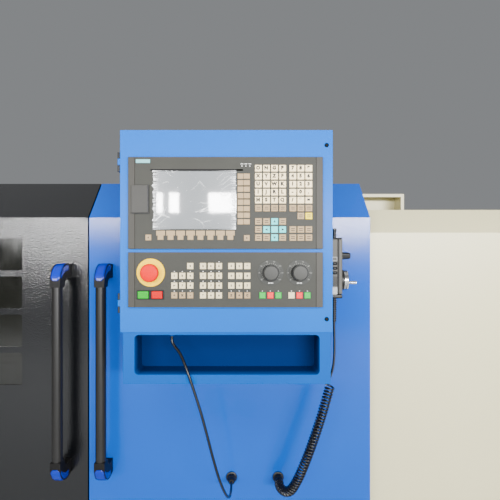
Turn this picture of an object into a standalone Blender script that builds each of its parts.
"""A flat-bed CNC turning lathe with a sliding-door guard and a swing-front control console.

Metres, X along the spindle to the right, Y to the back, Z up. The origin is on the floor, under the
middle of the machine. Each sub-part has its own function, and every piece is its own object.
"""

import math

import bmesh
import bpy
from mathutils import Matrix, Vector

# Clearances and facets
SEAT_GAP = 0.0003
RUNNING_GAP = 0.0003
CUT_OVERRUN = 0.005
JOINT_LAP = 0.0006
WELD = 0.00002
ROUND_SIDES = 24
SMALL_SIDES = 16
CORNER_STEPS = 3
ROUTE_STEPS = 12

# The whole machine
MACHINE_LENGTH = 3.100
DOOR_FACE_Y = -0.500
COVER_SETBACK = 0.050
COVER_BACK_Y = 0.400
PEDESTAL_HEIGHT = 0.560
LEFT_COVER_WIDTH = 0.750
RIGHT_COVER_WIDTH = 0.593
LEFT_END_X = -MACHINE_LENGTH / 2
RIGHT_END_X = MACHINE_LENGTH / 2
LEFT_COVER_EDGE_X = LEFT_END_X + LEFT_COVER_WIDTH
RIGHT_COVER_EDGE_X = RIGHT_END_X - RIGHT_COVER_WIDTH
COVER_FACE_Y = DOOR_FACE_Y + COVER_SETBACK

# Fixed covers, with a 45 degree band and a step for the upper rail
COVER_SHEET = 0.003
COVER_BAND_RISE = 0.075
COVER_TOP_Z = 1.5765
COVER_LIP_WIDTH = 0.018
COVER_STEP_DROP = 0.059
COVER_BOTTOM_Z = PEDESTAL_HEIGHT + SEAT_GAP
COVER_BAND_Y = COVER_FACE_Y + COVER_BAND_RISE
COVER_STEP_Y = COVER_BAND_Y + COVER_LIP_WIDTH
COVER_DECK_Z = COVER_TOP_Z - COVER_STEP_DROP
BAR_STOCK_HOLE_RADIUS = 0.045

# Rails that guide the doors
UPPER_RAIL_DEPTH = 0.038
UPPER_RAIL_HEIGHT = 0.055
UPPER_RAIL_WALL = 0.004
UPPER_RAIL_OFFSET = 0.002
HOOK_SHARE = 0.75
RAIL_END_INSET = 0.010
LOWER_RAIL_DEPTH = 0.028
LOWER_RAIL_HEIGHT = 0.030
LOWER_RAIL_TOP_Z = 0.566
UPPER_RAIL_Y = COVER_STEP_Y + UPPER_RAIL_OFFSET
UPPER_RAIL_BOTTOM_Z = COVER_DECK_Z + SEAT_GAP
UPPER_RAIL_TOP_Z = UPPER_RAIL_BOTTOM_Z + UPPER_RAIL_HEIGHT

# Sliding doors
DOOR_SHEET = 0.0025
DOOR_RETURN = 0.030
DOOR_SEAM_X = 0.150
DOOR_SEAM_GAP = 0.004
DOOR_FOLD_Z = 1.5429
DOOR_BAND_RISE = 0.1141
DOOR_BAND_RUN = 0.112
DOOR_BOTTOM_Z = LOWER_RAIL_TOP_Z + SEAT_GAP
DOOR_TOP_Z = DOOR_FOLD_Z + DOOR_BAND_RISE
DOOR_BAND_Y = DOOR_FACE_Y + DOOR_BAND_RUN
DOOR_HOOK_Y = UPPER_RAIL_Y + UPPER_RAIL_DEPTH * HOOK_SHARE
DOOR_HOOK_BOTTOM_Z = UPPER_RAIL_TOP_Z + SEAT_GAP
LEFT_DOOR_EDGE_X = DOOR_SEAM_X - DOOR_SEAM_GAP / 2
RIGHT_DOOR_EDGE_X = DOOR_SEAM_X + DOOR_SEAM_GAP / 2

# Window of the left door
WINDOW_RIGHT_X = -0.040
WINDOW_WIDTH = 0.560
WINDOW_TOP_MARGIN = 0.0589
PANE_OPENING_HEIGHT = 0.092
WINDOW_BAR = 0.0175
WINDOW_MULLION = 0.017
WINDOW_ROWS = 4
WINDOW_COLUMNS = 2
WINDOW_CORNER = 0.006
WINDOW_PLATE = 0.004
WINDOW_PLATE_MARGIN = 0.018
WINDOW_TOP_Z = DOOR_FOLD_Z - WINDOW_TOP_MARGIN

# Door handles
LEFT_HANDLE_FROM_SEAM = 0.0625
RIGHT_HANDLE_FROM_SEAM = 0.0560
HANDLE_TUBE_RADIUS = 0.014
HANDLE_STANDOFF = 0.063
HANDLE_TOP_Z = 1.413
HANDLE_LENGTH = 0.600
HANDLE_END_WIDTH = 0.030
HANDLE_END_DEPTH = 0.031
HANDLE_FOOT_HEIGHT = 0.042
HANDLE_COLLAR_DROP = 0.064
HANDLE_END_ROUNDING = 0.011
HANDLE_ARC_STEPS = 7

# Console box, its hinged plate and its tool pocket; both units set the plate's width and height
UNIT_WIDTH = 0.456
DISPLAY_HEIGHT = 0.2151
CONTROL_HEIGHT = 0.1290
UNIT_SPACING = 0.0076
CONSOLE_FACE_Y = -0.718
CONSOLE_LEFT_X = 0.302
CONSOLE_BOTTOM_Z = 1.2565
CONSOLE_LEFT_MARGIN = 0.020
CONSOLE_RIGHT_MARGIN = 0.024
CONSOLE_BASE_MARGIN = 0.0595
CONSOLE_TOP_MARGIN = 0.0643
CONSOLE_SHEET = 0.0025
CONSOLE_RETURN = 0.008
CONSOLE_BOX_INSET = 0.004
CONSOLE_FLANGE = 0.0055
UNIT_LEFT_X = CONSOLE_LEFT_X + CONSOLE_LEFT_MARGIN
UNIT_RIGHT_X = UNIT_LEFT_X + UNIT_WIDTH
CONTROL_BOTTOM_Z = CONSOLE_BOTTOM_Z + CONSOLE_BASE_MARGIN
DISPLAY_BOTTOM_Z = CONTROL_BOTTOM_Z + CONTROL_HEIGHT + UNIT_SPACING
CONSOLE_RIGHT_X = UNIT_RIGHT_X + CONSOLE_RIGHT_MARGIN
CONSOLE_TOP_Z = DISPLAY_BOTTOM_Z + DISPLAY_HEIGHT + CONSOLE_TOP_MARGIN
CONSOLE_PLATE_BACK_Y = CONSOLE_FACE_Y + CONSOLE_SHEET
BOX_LEFT_X = CONSOLE_LEFT_X + CONSOLE_BOX_INSET
BOX_RIGHT_X = CONSOLE_RIGHT_X - CONSOLE_BOX_INSET
BOX_BOTTOM_Z = CONSOLE_BOTTOM_Z + CONSOLE_BOX_INSET
BOX_TOP_Z = CONSOLE_TOP_Z - CONSOLE_BOX_INSET
BOX_FRONT_Y = CONSOLE_PLATE_BACK_Y + SEAT_GAP
BOX_BACK_Y = DOOR_FACE_Y - SEAT_GAP
POCKET_SIDE_INSET = 0.002
POCKET_OPENING_LEFT = 0.027
POCKET_OPENING_RIGHT = 0.026
POCKET_OPENING_BASE = 0.0217
POCKET_OPENING_HEIGHT = 0.094
POCKET_HEAD = 0.0105
POCKET_CORNER = 0.009
POCKET_DEPTH = 0.075
POCKET_LEFT_X = BOX_LEFT_X + POCKET_SIDE_INSET
POCKET_RIGHT_X = BOX_RIGHT_X
POCKET_TOP_Z = BOX_BOTTOM_Z - SEAT_GAP
POCKET_CEILING_Z = POCKET_TOP_Z - POCKET_HEAD
POCKET_BOTTOM_Z = POCKET_CEILING_Z - POCKET_OPENING_HEIGHT - POCKET_OPENING_BASE

# Console hinges and locks
HINGE_AXIS_OFFSET = 0.004
HINGE_AXIS_SETBACK = 0.006
HINGE_BARREL_RADIUS = 0.0036
HINGE_PIN_RADIUS = 0.0018
HINGE_HEIGHT = 0.046
HINGE_LEAF_DEPTH = 0.035
HINGE_LEAF_SETBACK = 0.007
HINGE_LEAF_SIZE = 0.0042
HINGE_KNUCKLE_GAP = 0.0005
HINGE_LINK_SHARE = 0.8
UPPER_HINGE_DROP = 0.074
LOWER_HINGE_RISE = 0.068
HINGE_X = CONSOLE_LEFT_X - HINGE_AXIS_OFFSET
HINGE_Y = CONSOLE_FACE_Y + HINGE_AXIS_SETBACK
UPPER_HINGE_Z = CONSOLE_TOP_Z - UPPER_HINGE_DROP
LOWER_HINGE_Z = CONSOLE_BOTTOM_Z + LOWER_HINGE_RISE
LOCK_INSET = 0.014
UPPER_LOCK_DROP = 0.0354
LOWER_LOCK_RISE = 0.0309
LOCK_HEAD_RADIUS = 0.005
LOCK_HEAD_HEIGHT = 0.0022
LOCK_SHAFT_RADIUS = 0.0038
LOCK_TONGUE_LENGTH = 0.007
LOCK_TONGUE_WIDTH = 0.004
LOCK_TONGUE_THICKNESS = 0.0025
LOCK_SLOT_WIDTH = 0.0012
LOCK_SLOT_DEPTH = 0.001
LOCK_SLOT_SHARE = 0.8
LOCK_X = CONSOLE_RIGHT_X - LOCK_INSET
UPPER_LOCK_Z = CONSOLE_TOP_Z - UPPER_LOCK_DROP
LOWER_LOCK_Z = CONSOLE_BOTTOM_Z + LOWER_LOCK_RISE

# Display unit
UNIT_PROUD = 0.007
UNIT_CORNER = 0.0015
UNIT_FLANGE = 0.009
UNIT_CUTOUT_GAP = 0.0005
UNIT_GROOVE_INSET = 0.0163
UNIT_GROOVE_WIDTH = 0.001
UNIT_GROOVE_DEPTH = 0.001
DISPLAY_CHASSIS_DEPTH = 0.078
SCREEN_RECESS_LEFT = 0.0658
SCREEN_RECESS_WIDTH = 0.1878
SCREEN_RECESS_BASE = 0.0464
SCREEN_RECESS_HEIGHT = 0.1391
SCREEN_RECESS_DEPTH = 0.004
SCREEN_PANE_THICKNESS = 0.002
SCREEN_PANE_MARGIN = 0.0004
MAT_RECESS_DEPTH = 0.0015
MAT_THICKNESS = 0.0012
MAT_MARGIN = 0.0004
KEY_HEIGHT = 0.003
UNIT_BACK_Y = CONSOLE_FACE_Y - SEAT_GAP
UNIT_FACE_Y = CONSOLE_FACE_Y - UNIT_PROUD

# Keys of the display unit, measured from its lower left corner
KEY_WIDTH = 0.0168
KEY_TALL = 0.0159
KEY_COLUMN_PITCH = 0.0188
KEY_ROW_PITCH = 0.0186
LETTER_COLUMN_X = 0.3050
NUMBER_COLUMN_X = 0.3853
TOP_ROW_Z = 0.1880
CURSOR_ROW_Z = 0.0640
LETTER_COLUMNS = 4
NUMBER_COLUMNS = 3
LETTER_ROWS = 6
CURSOR_ROWS = 3
EXTRA_ROW_Z = 0.0768
SIDE_SOFTKEY_X = 0.2706
SIDE_SOFTKEY_TOP_Z = 0.1696
SIDE_SOFTKEY_PITCH = 0.0152
SIDE_SOFTKEY_WIDTH = 0.0283
SIDE_SOFTKEY_TALL = 0.0124
SOFTKEY_COUNT = 8
BASE_SOFTKEY_X = 0.0768
BASE_SOFTKEY_Z = 0.0317
BASE_SOFTKEY_PITCH = 0.0232
BASE_SOFTKEY_WIDTH = 0.0206
BASE_SOFTKEY_TALL = 0.0217
PAGE_KEY_SIZE = 0.0135
LEFT_PAGE_KEY_X = 0.0483
RIGHT_PAGE_KEY_X = 0.2779
PAGE_KEY_Z = 0.0260
DISPLAY_MAT_INSET_LEFT = 0.038
DISPLAY_MAT_BASE = 0.0160
DISPLAY_MAT_STRIP_TOP = 0.0440
DISPLAY_MAT_RIGHT = 0.4340
DISPLAY_MAT_TOP = 0.1980
DISPLAY_MAT_TURN_X = 0.2555

# Memory card flap on the display unit
FLAP_LEFT = 0.0085
FLAP_BASE = 0.0822
FLAP_WIDTH = 0.041
FLAP_HEIGHT = 0.067
FLAP_THICKNESS = 0.005
FLAP_GRIP_WIDTH = 0.004
FLAP_GRIP_DEPTH = 0.0015
CARD_SLOT_WIDTH = 0.0035
CARD_SLOT_HEIGHT = 0.043
CARD_SLOT_DEPTH = 0.012

# Machine control panel, measured from its lower left corner
CONTROL_CHASSIS_DEPTH = 0.058
PANEL_KEY_SIZE = 0.0149
PANEL_KEY_PITCH = 0.0186
PANEL_ROW_PITCH = 0.0228
PANEL_FIRST_ROW_Z = 0.0282
PANEL_ROWS = 4
PANEL_COLUMNS = 3
PANEL_GROUPS_X = (0.1088, 0.1758, 0.2417)
KNOB_KEYS_X = (0.3143, 0.3821)
PANEL_MAT_LEFT = 0.0970
PANEL_MAT_RIGHT = 0.4310
PANEL_MAT_BASE = 0.0170
PANEL_MAT_TOP = 0.1080
PANEL_MAT_STEP_X = 0.2920
PANEL_MAT_STEP_Z = 0.0390

# Emergency stop
ESTOP_X = 0.0536
ESTOP_Z = 0.0812
COLLAR_RADIUS = 0.033
COLLAR_THICKNESS = 0.0032
ESTOP_RADIUS = 0.021
ESTOP_FACE_DEPTH = 0.032
ESTOP_HEAD_THICKNESS = 0.014
ESTOP_NECK_RADIUS = 0.012
ESTOP_NECK_SINK = 0.012
ESTOP_DOME = 0.0012
ESTOP_REACH_SHARES = (0.7, 0.93, 1.0)
ESTOP_DROP_SHARES = (0.33, 1.5, 3.0)
ESTOP_FOOT_SHARE = 0.9

# Push buttons and their frames
BUTTON_Z = 0.0294
BUTTON_WIDTH = 0.0250
BUTTON_HEIGHT = 0.0174
GREEN_BUTTON_X = 0.0366
RED_BUTTON_X = 0.0688
FRAME_WIDTH = 0.0302
FRAME_HEIGHT = 0.0198
FRAME_PROUD = 0.002
BUTTON_PROUD = 0.006
BUTTON_SINK = 0.008
BUTTON_ROUNDING = 0.0012

# Override knobs
KNOB_Z = 0.0812
SPINDLE_KNOB_X = 0.3335
FEED_KNOB_X = 0.4007
KNOB_RADIUS = 0.019
KNOB_FLUTE_DEPTH = 0.0011
KNOB_FLUTES = 16
KNOB_FLUTE_POINTS = 3
KNOB_DEPTH = 0.018
KNOB_CAP_RADIUS = 0.0165
KNOB_CAP_HEIGHT = 0.004
KNOB_SHAFT_RADIUS = 0.003
KNOB_SHAFT_SINK = 0.010

# Hand pendant and its holder
PENDANT_LEFT_X = 0.812
PENDANT_WIDTH = 0.030
PENDANT_Y = -0.611
PENDANT_DEPTH = 0.078
PENDANT_BOTTOM_Z = 1.328
PENDANT_HEIGHT = 0.153
PENDANT_ROUNDING = 0.004
PENDANT_RIB_COUNT = 6
PENDANT_RIB_PITCH = 0.010
PENDANT_RIB_WIDTH = 0.004
PENDANT_RIB_DEPTH = 0.0025
PENDANT_RIB_SPAN = 0.017
PENDANT_RIB_BASE = 0.044
PENDANT_POST_RADIUS = 0.0055
PENDANT_POST_HEIGHT = 0.025
PENDANT_POST_X = 0.018
HOLDER_PLATE = 0.003
HOLDER_WIDTH = 0.088
HOLDER_HEIGHT = 0.130
HOLDER_BASE_Z = 1.340
HOLDER_BLOCK_WIDTH = 0.050
HOLDER_BLOCK_MARGIN = 0.020
SELECTOR_Z = 1.435
SELECTOR_RADIUS = 0.010
SELECTOR_LENGTH = 0.028
SELECTOR_FLUTES = 8
SELECTOR_FLUTE_DEPTH = 0.0008
WHEEL_Z = 1.372
WHEEL_RADIUS = 0.027
WHEEL_WIDTH = 0.0255
WHEEL_FACE_SHARE = 0.8
WHEEL_DISH_SHARE = 0.6
WHEEL_CHAMFER = 0.0018
WHEEL_HUB_RADIUS = 0.012
WHEEL_RIM_WIDTH = 0.005
CRANK_OFFSET_Y = -0.016
CRANK_OFFSET_Z = -0.0055
CRANK_RADIUS = 0.0045
CRANK_LENGTH = 0.0153
PENDANT_SHAFT_RADIUS = 0.003
PENDANT_SHAFT_SINK = 0.012

# Cords: routes are chosen points, in metres
LEAD_RADIUS = 0.0035
COIL_RADIUS = 0.0133
CABLE_RADIUS = 0.0035
RELIEF_X = 0.829
RELIEF_LENGTH = 0.066
RELIEF_TOP_RADIUS = 0.0075
RELIEF_BOTTOM_RADIUS = 0.0048
RELIEF_RIB_SHARE = 0.6
RELIEF_RIB = 0.0008
RELIEF_RIBS = 9
LEAD_ROUTE = (
    (0.829, -0.611, 1.2614), (0.8294, -0.6112, 1.236), (0.8298, -0.6125, 1.206),
    (0.829, -0.6145, 1.178), (0.8258, -0.6165, 1.150), (0.819, -0.6178, 1.125), (0.8089, -0.618, 1.1016),
)
COIL_ROUTE = (
    (0.8171, -0.618, 1.0985), (0.808, -0.618, 1.066), (0.796, -0.618, 1.024), (0.782, -0.617, 0.980),
    (0.767, -0.615, 0.935), (0.751, -0.611, 0.890), (0.735, -0.604, 0.848), (0.719, -0.593, 0.815),
    (0.7055, -0.577, 0.802), (0.6965, -0.561, 0.800), (0.693, -0.545, 0.800), (0.693, -0.5287, 0.800),
)
CABLE_ROUTE = (
    (0.4195, -0.690, 1.2425), (0.4196, -0.690, 1.230), (0.4262, -0.6935, 1.2185), (0.4400, -0.702, 1.2035),
    (0.4540, -0.7155, 1.180), (0.4625, -0.7215, 1.160), (0.4695, -0.7225, 1.140), (0.4770, -0.722, 1.117),
    (0.4850, -0.7215, 1.092), (0.4940, -0.721, 1.062), (0.5060, -0.717, 1.015), (0.5185, -0.708, 0.960),
    (0.5310, -0.692, 0.905), (0.5420, -0.668, 0.860), (0.5510, -0.637, 0.824), (0.5570, -0.604, 0.804),
    (0.5595, -0.575, 0.800), (0.5600, -0.558, 0.800), (0.5600, -0.543, 0.800), (0.5600, -0.5287, 0.800),
)
LEAD_POINTS = 14
COIL_POINTS = 18
CABLE_POINTS = 44
COIL_GLAND_X = 0.693
CABLE_GLAND_X = 0.560
GLAND_Z = 0.800
GLAND_REACH = 0.0281
GLAND_FLANGE_RADIUS = 0.016
GLAND_FLANGE_HEIGHT = 0.005
GLAND_BODY_RADIUS = 0.013
GLAND_NUT_HEIGHT = 0.013
GLAND_NOSE_BASE_RADIUS = 0.0104
GLAND_NOSE_RADIUS = 0.0068
GLAND_NUT_SIDES = 6
GROMMET_X = 0.4195
GROMMET_Y = -0.690
GROMMET_RADIUS = 0.007
GROMMET_HEIGHT = 0.0066
GROMMET_SINK = 0.004

# Bed and its ball screw
BED_LEFT_X = -1.450
BED_RIGHT_X = 1.430
BED_FRONT_Y = -0.260
BED_WIDTH = 0.400
BED_HEIGHT = 0.320
WAY_WIDTH = 0.100
WAY_THICKNESS = 0.035
WAY_LIP = 0.025
CHANNEL_DEPTH = 0.120
BED_RIBS = 6
BED_RIB_WIDTH = 0.030
BED_RIB_HEIGHT = 0.070
BED_BOTTOM_Z = PEDESTAL_HEIGHT + SEAT_GAP
BED_TOP_Z = BED_BOTTOM_Z + BED_HEIGHT
BED_BACK_Y = BED_FRONT_Y + BED_WIDTH
SCREW_Y = -0.300
SCREW_Z = 0.800
SCREW_RADIUS = 0.018
SCREW_JOURNAL_RADIUS = 0.014
SCREW_LEFT_X = -0.755
SCREW_RIGHT_X = 1.135
BEARING_LENGTH = 0.060
BEARING_WIDTH = 0.090
BEARING_HEIGHT = 0.080
RIGHT_BEARING_X = 1.080
LEFT_BEARING_X = -0.760
SERVO_SIZE = 0.110
SERVO_LENGTH = 0.190

# Pedestals and chip pan
LEFT_PEDESTAL_WIDTH = 0.800
RIGHT_PEDESTAL_WIDTH = 0.550
PEDESTAL_FOOT_HEIGHT = 0.030
PEDESTAL_FOOT_RADIUS = 0.045
PEDESTAL_FOOT_INSET = 0.090
PEDESTAL_PANEL_MARGIN = 0.080
PEDESTAL_PANEL_DEPTH = 0.004
PAN_WALL = 0.004
PAN_BOTTOM_Z = 0.440
PAN_TOP_Z = 0.555
PAN_FRONT_INSET = 0.012
RAIL_FRONT_Y = COVER_FACE_Y - PAN_FRONT_INSET - LOWER_RAIL_DEPTH

# Headstock, spindle and chuck
SPINDLE_HEIGHT = 0.250
SPINDLE_Y = -0.060
HEADSTOCK_RIGHT_X = -0.830
HEADSTOCK_LENGTH = 0.620
HEADSTOCK_HALF_WIDTH = 0.195
HEADSTOCK_HEIGHT = 0.450
HEADSTOCK_SHOULDER = 0.070
HEADSTOCK_FOOT_HEIGHT = 0.045
HEADSTOCK_WAIST = 0.020
SPINDLE_RADIUS = 0.055
SPINDLE_BORE_RADIUS = 0.0325
SPINDLE_NOSE_RADIUS = 0.090
SPINDLE_NOSE_LENGTH = 0.030
PULLEY_RADIUS = 0.100
PULLEY_WIDTH = 0.060
PULLEY_GROOVES = 4
PULLEY_GROOVE_DEPTH = 0.010
PULLEY_LAND_SHARE = 0.125
PULLEY_GAP = 0.005
CHUCK_RADIUS = 0.125
CHUCK_LENGTH = 0.110
CHUCK_RELIEF = 0.010
JAW_SLOT_WIDTH = 0.020
JAW_SLOT_DEPTH = 0.012
JAW_WIDTH = 0.036
JAW_INNER_RADIUS = 0.036
JAW_OUTER_RADIUS = 0.118
JAW_HEIGHT = 0.050
JAW_STEP_SHARES = (0.30, 0.62)
JAW_STEP_HEIGHT_SHARES = (0.68, 0.36)
JAW_COUNT = 3
SPINDLE_Z = BED_TOP_Z + SPINDLE_HEIGHT
SPINDLE_NOSE_X = HEADSTOCK_RIGHT_X + SPINDLE_NOSE_LENGTH
CHUCK_BACK_X = SPINDLE_NOSE_X + SEAT_GAP
CHUCK_FACE_X = CHUCK_BACK_X + CHUCK_LENGTH

# Main motor behind the headstock
MOTOR_RADIUS = 0.095
MOTOR_LENGTH = 0.330
MOTOR_Y = 0.270
MOTOR_RISE = 0.120
MOTOR_LEFT_X = -1.430
MOTOR_FOOT_WIDTH = 0.180
MOTOR_FOOT_HEIGHT = 0.040
MOTOR_BOX_SIZE = 0.090
MOTOR_BOX_HEIGHT = 0.050
MOTOR_SHAFT_RADIUS = 0.024
MOTOR_SHAFT_LENGTH = 0.060

# Saddle, cross slide and tool turret
SADDLE_X = 0.100
SADDLE_LENGTH = 0.500
SADDLE_WAIST = 0.220
SADDLE_THICKNESS = 0.050
SADDLE_FRONT_REACH = 0.085
SADDLE_BACK_REACH = 0.040
SADDLE_WING_TAPER = 0.020
APRON_LENGTH = 0.360
APRON_INSET = 0.003
APRON_DEPTH = 0.076
APRON_DROP = 0.135
DOVETAIL_WIDTH = 0.160
DOVETAIL_FLARE = 0.015
DOVETAIL_HEIGHT = 0.035
DOVETAIL_LENGTH = 0.560
DOVETAIL_FRONT_Y = -0.330
CROSS_WIDTH = 0.260
CROSS_LENGTH = 0.240
CROSS_HEIGHT = 0.080
CROSS_FRONT_Y = -0.335
CROSS_CHAMFER = 0.012
TURRET_SIZE = 0.140
TURRET_HEIGHT = 0.135
TURRET_Y = -0.215
TURRET_CHAMFER = 0.012
TOOL_SLOT_HEIGHT = 0.030
TOOL_SIZE = 0.024
TOOL_REACH = 0.110
TOOL_INSET = 0.012
TOOL_TIP_WIDTH = 0.010
TURRET_NUT_RADIUS = 0.035
TURRET_NUT_HEIGHT = 0.018
TURRET_NUT_SIDES = 6
TOOL_COUNT = 4

# Tailstock
TAILSTOCK_LEFT_X = 0.700
TAILSTOCK_LENGTH = 0.400
TAILSTOCK_HALF_WIDTH = 0.190
TAILSTOCK_BASE_HEIGHT = 0.045
TAILSTOCK_BARREL_RADIUS = 0.080
TAILSTOCK_WEB_HALF_WIDTH = 0.120
TAILSTOCK_WEB_TOP_HALF_WIDTH = 0.060
QUILL_RADIUS = 0.0375
QUILL_REACH = 0.060
QUILL_TAIL_X = 1.060
CENTRE_RADIUS = 0.020
CENTRE_LENGTH = 0.042
CENTRE_POINT_SHARE = 0.8

# Rear guard and electrical cabinet
GUARD_HALF_LENGTH = 1.401
GUARD_DEPTH = 0.126
GUARD_TOP_Z = 1.729
GUARD_BOTTOM_Z = 0.880
GUARD_LIP = 0.015
GUARD_SHEET = 0.003
GUARD_FRONT_Y = COVER_BACK_Y + SEAT_GAP
GUARD_BACK_Y = GUARD_FRONT_Y + GUARD_DEPTH
CABINET_HALF_LENGTH = 0.600
CABINET_HEIGHT = 1.500
CABINET_BACK_Y = 0.742
CABINET_DOOR_PROUD = 0.003
CABINET_DOOR_MARGIN = 0.030
CABINET_DOOR_GAP = 0.006
CABINET_HANDLE_HEIGHT = 0.120
CABINET_HANDLE_WIDTH = 0.024
CABINET_HANDLE_PROUD = 0.005
CABINET_PLINTH_HEIGHT = 0.080
CABINET_PLINTH_INSET = 0.020
LOUVRE_COUNT = 6
LOUVRE_PITCH = 0.022
LOUVRE_WIDTH = 0.200
LOUVRE_HEIGHT = 0.008
LOUVRE_DEPTH = 0.004
LOUVRE_BASE_Z = 0.220

# Finishes: colour, roughness, metallic
FINISHES = {
    "dark_textured_paint": ((0.045, 0.048, 0.050), 0.45, 0.0),
    "blue_textured_paint": ((0.040, 0.210, 0.640), 0.40, 0.0),
    "cream_textured_paint": ((0.700, 0.690, 0.600), 0.50, 0.0),
    "grey_plastic": ((0.200, 0.195, 0.175), 0.50, 0.0),
    "ivory_key_plastic": ((0.700, 0.660, 0.560), 0.50, 0.0),
    "black_plastic": ((0.020, 0.020, 0.021), 0.45, 0.0),
    "royal_blue_plastic": ((0.012, 0.070, 0.430), 0.25, 0.0),
    "red_plastic": ((0.800, 0.090, 0.060), 0.35, 0.0),
    "green_plastic": ((0.080, 0.600, 0.180), 0.35, 0.0),
    "yellow_plastic": ((0.900, 0.680, 0.080), 0.40, 0.0),
    "cast_iron": ((0.180, 0.185, 0.180), 0.55, 0.6),
    "bright_steel": ((0.600, 0.600, 0.600), 0.25, 1.0),
    "black_rubber": ((0.015, 0.015, 0.016), 0.65, 0.0),
    "clear_sheet": ((0.300, 0.310, 0.300), 0.10, 0.0),
    "aluminium": ((0.700, 0.700, 0.690), 0.35, 1.0),
}

PLANES = {
    "X": Matrix(((0, 0, 1, 0), (1, 0, 0, 0), (0, 1, 0, 0), (0, 0, 0, 1))),
    "Y": Matrix(((1, 0, 0, 0), (0, 0, -1, 0), (0, 1, 0, 0), (0, 0, 0, 1))),
    "Z": Matrix.Identity(4),
}


def clear_scene():
    for obj in list(bpy.data.objects):
        bpy.data.objects.remove(obj, do_unlink=True)


def collection(name):
    found = bpy.data.collections.new(name)
    bpy.context.scene.collection.children.link(found)
    return found


# Shapes

def new_object(name, data):
    obj = bpy.data.objects.new(name, data)
    SHAPES.objects.link(obj)
    return obj


def mesh_object(name, shape):
    mesh = bpy.data.meshes.new(name)
    shape.to_mesh(mesh)
    shape.free()
    return new_object(name, mesh)


def box(x_span, y_span, z_span):
    """A block between two planes on each axis."""
    low = Vector((x_span[0], y_span[0], z_span[0]))
    high = Vector((x_span[1], y_span[1], z_span[1]))
    shape = bmesh.new()
    place = Matrix.Translation((low + high) / 2) @ Matrix.Diagonal((*(high - low), 1))
    bmesh.ops.create_cube(shape, size=1, matrix=place)
    return mesh_object("block", shape)


def boxes(spans):
    """Several separate blocks in one mesh, as the tool of one cut or join."""
    shape = bmesh.new()
    for x_span, y_span, z_span in spans:
        low = Vector((x_span[0], y_span[0], z_span[0]))
        high = Vector((x_span[1], y_span[1], z_span[1]))
        place = Matrix.Translation((low + high) / 2) @ Matrix.Diagonal((*(high - low), 1))
        bmesh.ops.create_cube(shape, size=1, matrix=place)
    return mesh_object("blocks", shape)


def around(middle, width):
    return (middle - width / 2, middle + width / 2)


def aim(base, direction):
    turn = Vector((0, 0, 1)).rotation_difference(Vector(direction))
    return Matrix.Translation(base) @ turn.to_matrix().to_4x4()


def rod(start, end, radius, sides=ROUND_SIDES, end_radius=None):
    """A round bar or cone between two points."""
    start = Vector(start)
    end = Vector(end)
    shape = bmesh.new()
    place = aim((start + end) / 2, end - start)
    tip = radius if end_radius is None else end_radius
    bmesh.ops.create_cone(
        shape, cap_ends=True, segments=sides, radius1=radius, radius2=tip,
        depth=(end - start).length, matrix=place,
    )
    return mesh_object("rod", shape)


def solid_of_curve(guide):
    """The curve's own solid as a mesh, with its caps welded on."""
    bpy.context.view_layer.update()
    evaluated = guide.evaluated_get(bpy.context.evaluated_depsgraph_get())
    mesh = bpy.data.meshes.new_from_object(evaluated)
    shape = bmesh.new()
    shape.from_mesh(mesh)
    bmesh.ops.remove_doubles(shape, verts=shape.verts, dist=WELD)
    bmesh.ops.recalc_face_normals(shape, faces=shape.faces)
    shape.to_mesh(mesh)
    shape.free()
    solid = new_object(guide.name, mesh)
    solid.matrix_world = guide.matrix_world.copy()
    bpy.data.objects.remove(guide, do_unlink=True)
    return solid


def prism(outlines, span, along):
    """Flat outlines extruded between two planes; an outline inside another is a hole."""
    curve = bpy.data.curves.new("outline", "CURVE")
    curve.dimensions = "2D"
    curve.fill_mode = "BOTH"
    curve.extrude = (span[1] - span[0]) / 2
    for outline in outlines:
        spline = curve.splines.new("POLY")
        spline.points.add(len(outline) - 1)
        for point, (u, v) in zip(spline.points, outline):
            point.co = (u, v, 0, 1)
        spline.use_cyclic_u = True
    guide = new_object("outline", curve)
    middle = (span[0] + span[1]) / 2
    shift = -middle if along == "Y" else middle
    guide.matrix_world = PLANES[along] @ Matrix.Translation((0, 0, shift))
    return solid_of_curve(guide)


def turned(profile, base, direction, sides=ROUND_SIDES):
    """A profile of (radius, height) pairs, from its top down its outer side, turned about a line."""
    hollow = profile[0][0] > 0 and profile[-1][0] > 0
    count = len(profile)
    edges = [(i, i + 1) for i in range(count - 1)] + ([(count - 1, 0)] if hollow else [])
    mesh = bpy.data.meshes.new("turned")
    mesh.from_pydata([(radius, 0, height) for radius, height in profile], edges, [])
    obj = new_object("turned", mesh)
    obj.matrix_world = aim(base, direction)
    screw = obj.modifiers.new("turn", "SCREW")
    screw.steps = sides
    screw.render_steps = sides
    screw.use_merge_vertices = True
    screw.merge_threshold = WELD
    return obj


def rounded_rectangle(x_span, z_span, radius):
    corners = (
        (x_span[1] - radius, z_span[0] + radius, -90),
        (x_span[1] - radius, z_span[1] - radius, 0),
        (x_span[0] + radius, z_span[1] - radius, 90),
        (x_span[0] + radius, z_span[0] + radius, 180),
    )
    points = []
    for middle_x, middle_z, start in corners:
        for step in range(CORNER_STEPS + 1):
            angle = math.radians(start + 90 * step / CORNER_STEPS)
            points.append((middle_x + radius * math.cos(angle), middle_z + radius * math.sin(angle)))
    return points


def fluted_circle(middle, radius, depth, flutes):
    """A round outline with shallow hollows, as on a grip knob."""
    points = []
    count = flutes * KNOB_FLUTE_POINTS
    for step in range(count):
        angle = 2 * math.pi * step / count
        reach = radius - depth / 2 + depth / 2 * math.cos(flutes * angle)
        points.append((middle[0] + reach * math.cos(angle), middle[1] + reach * math.sin(angle)))
    return points


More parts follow.
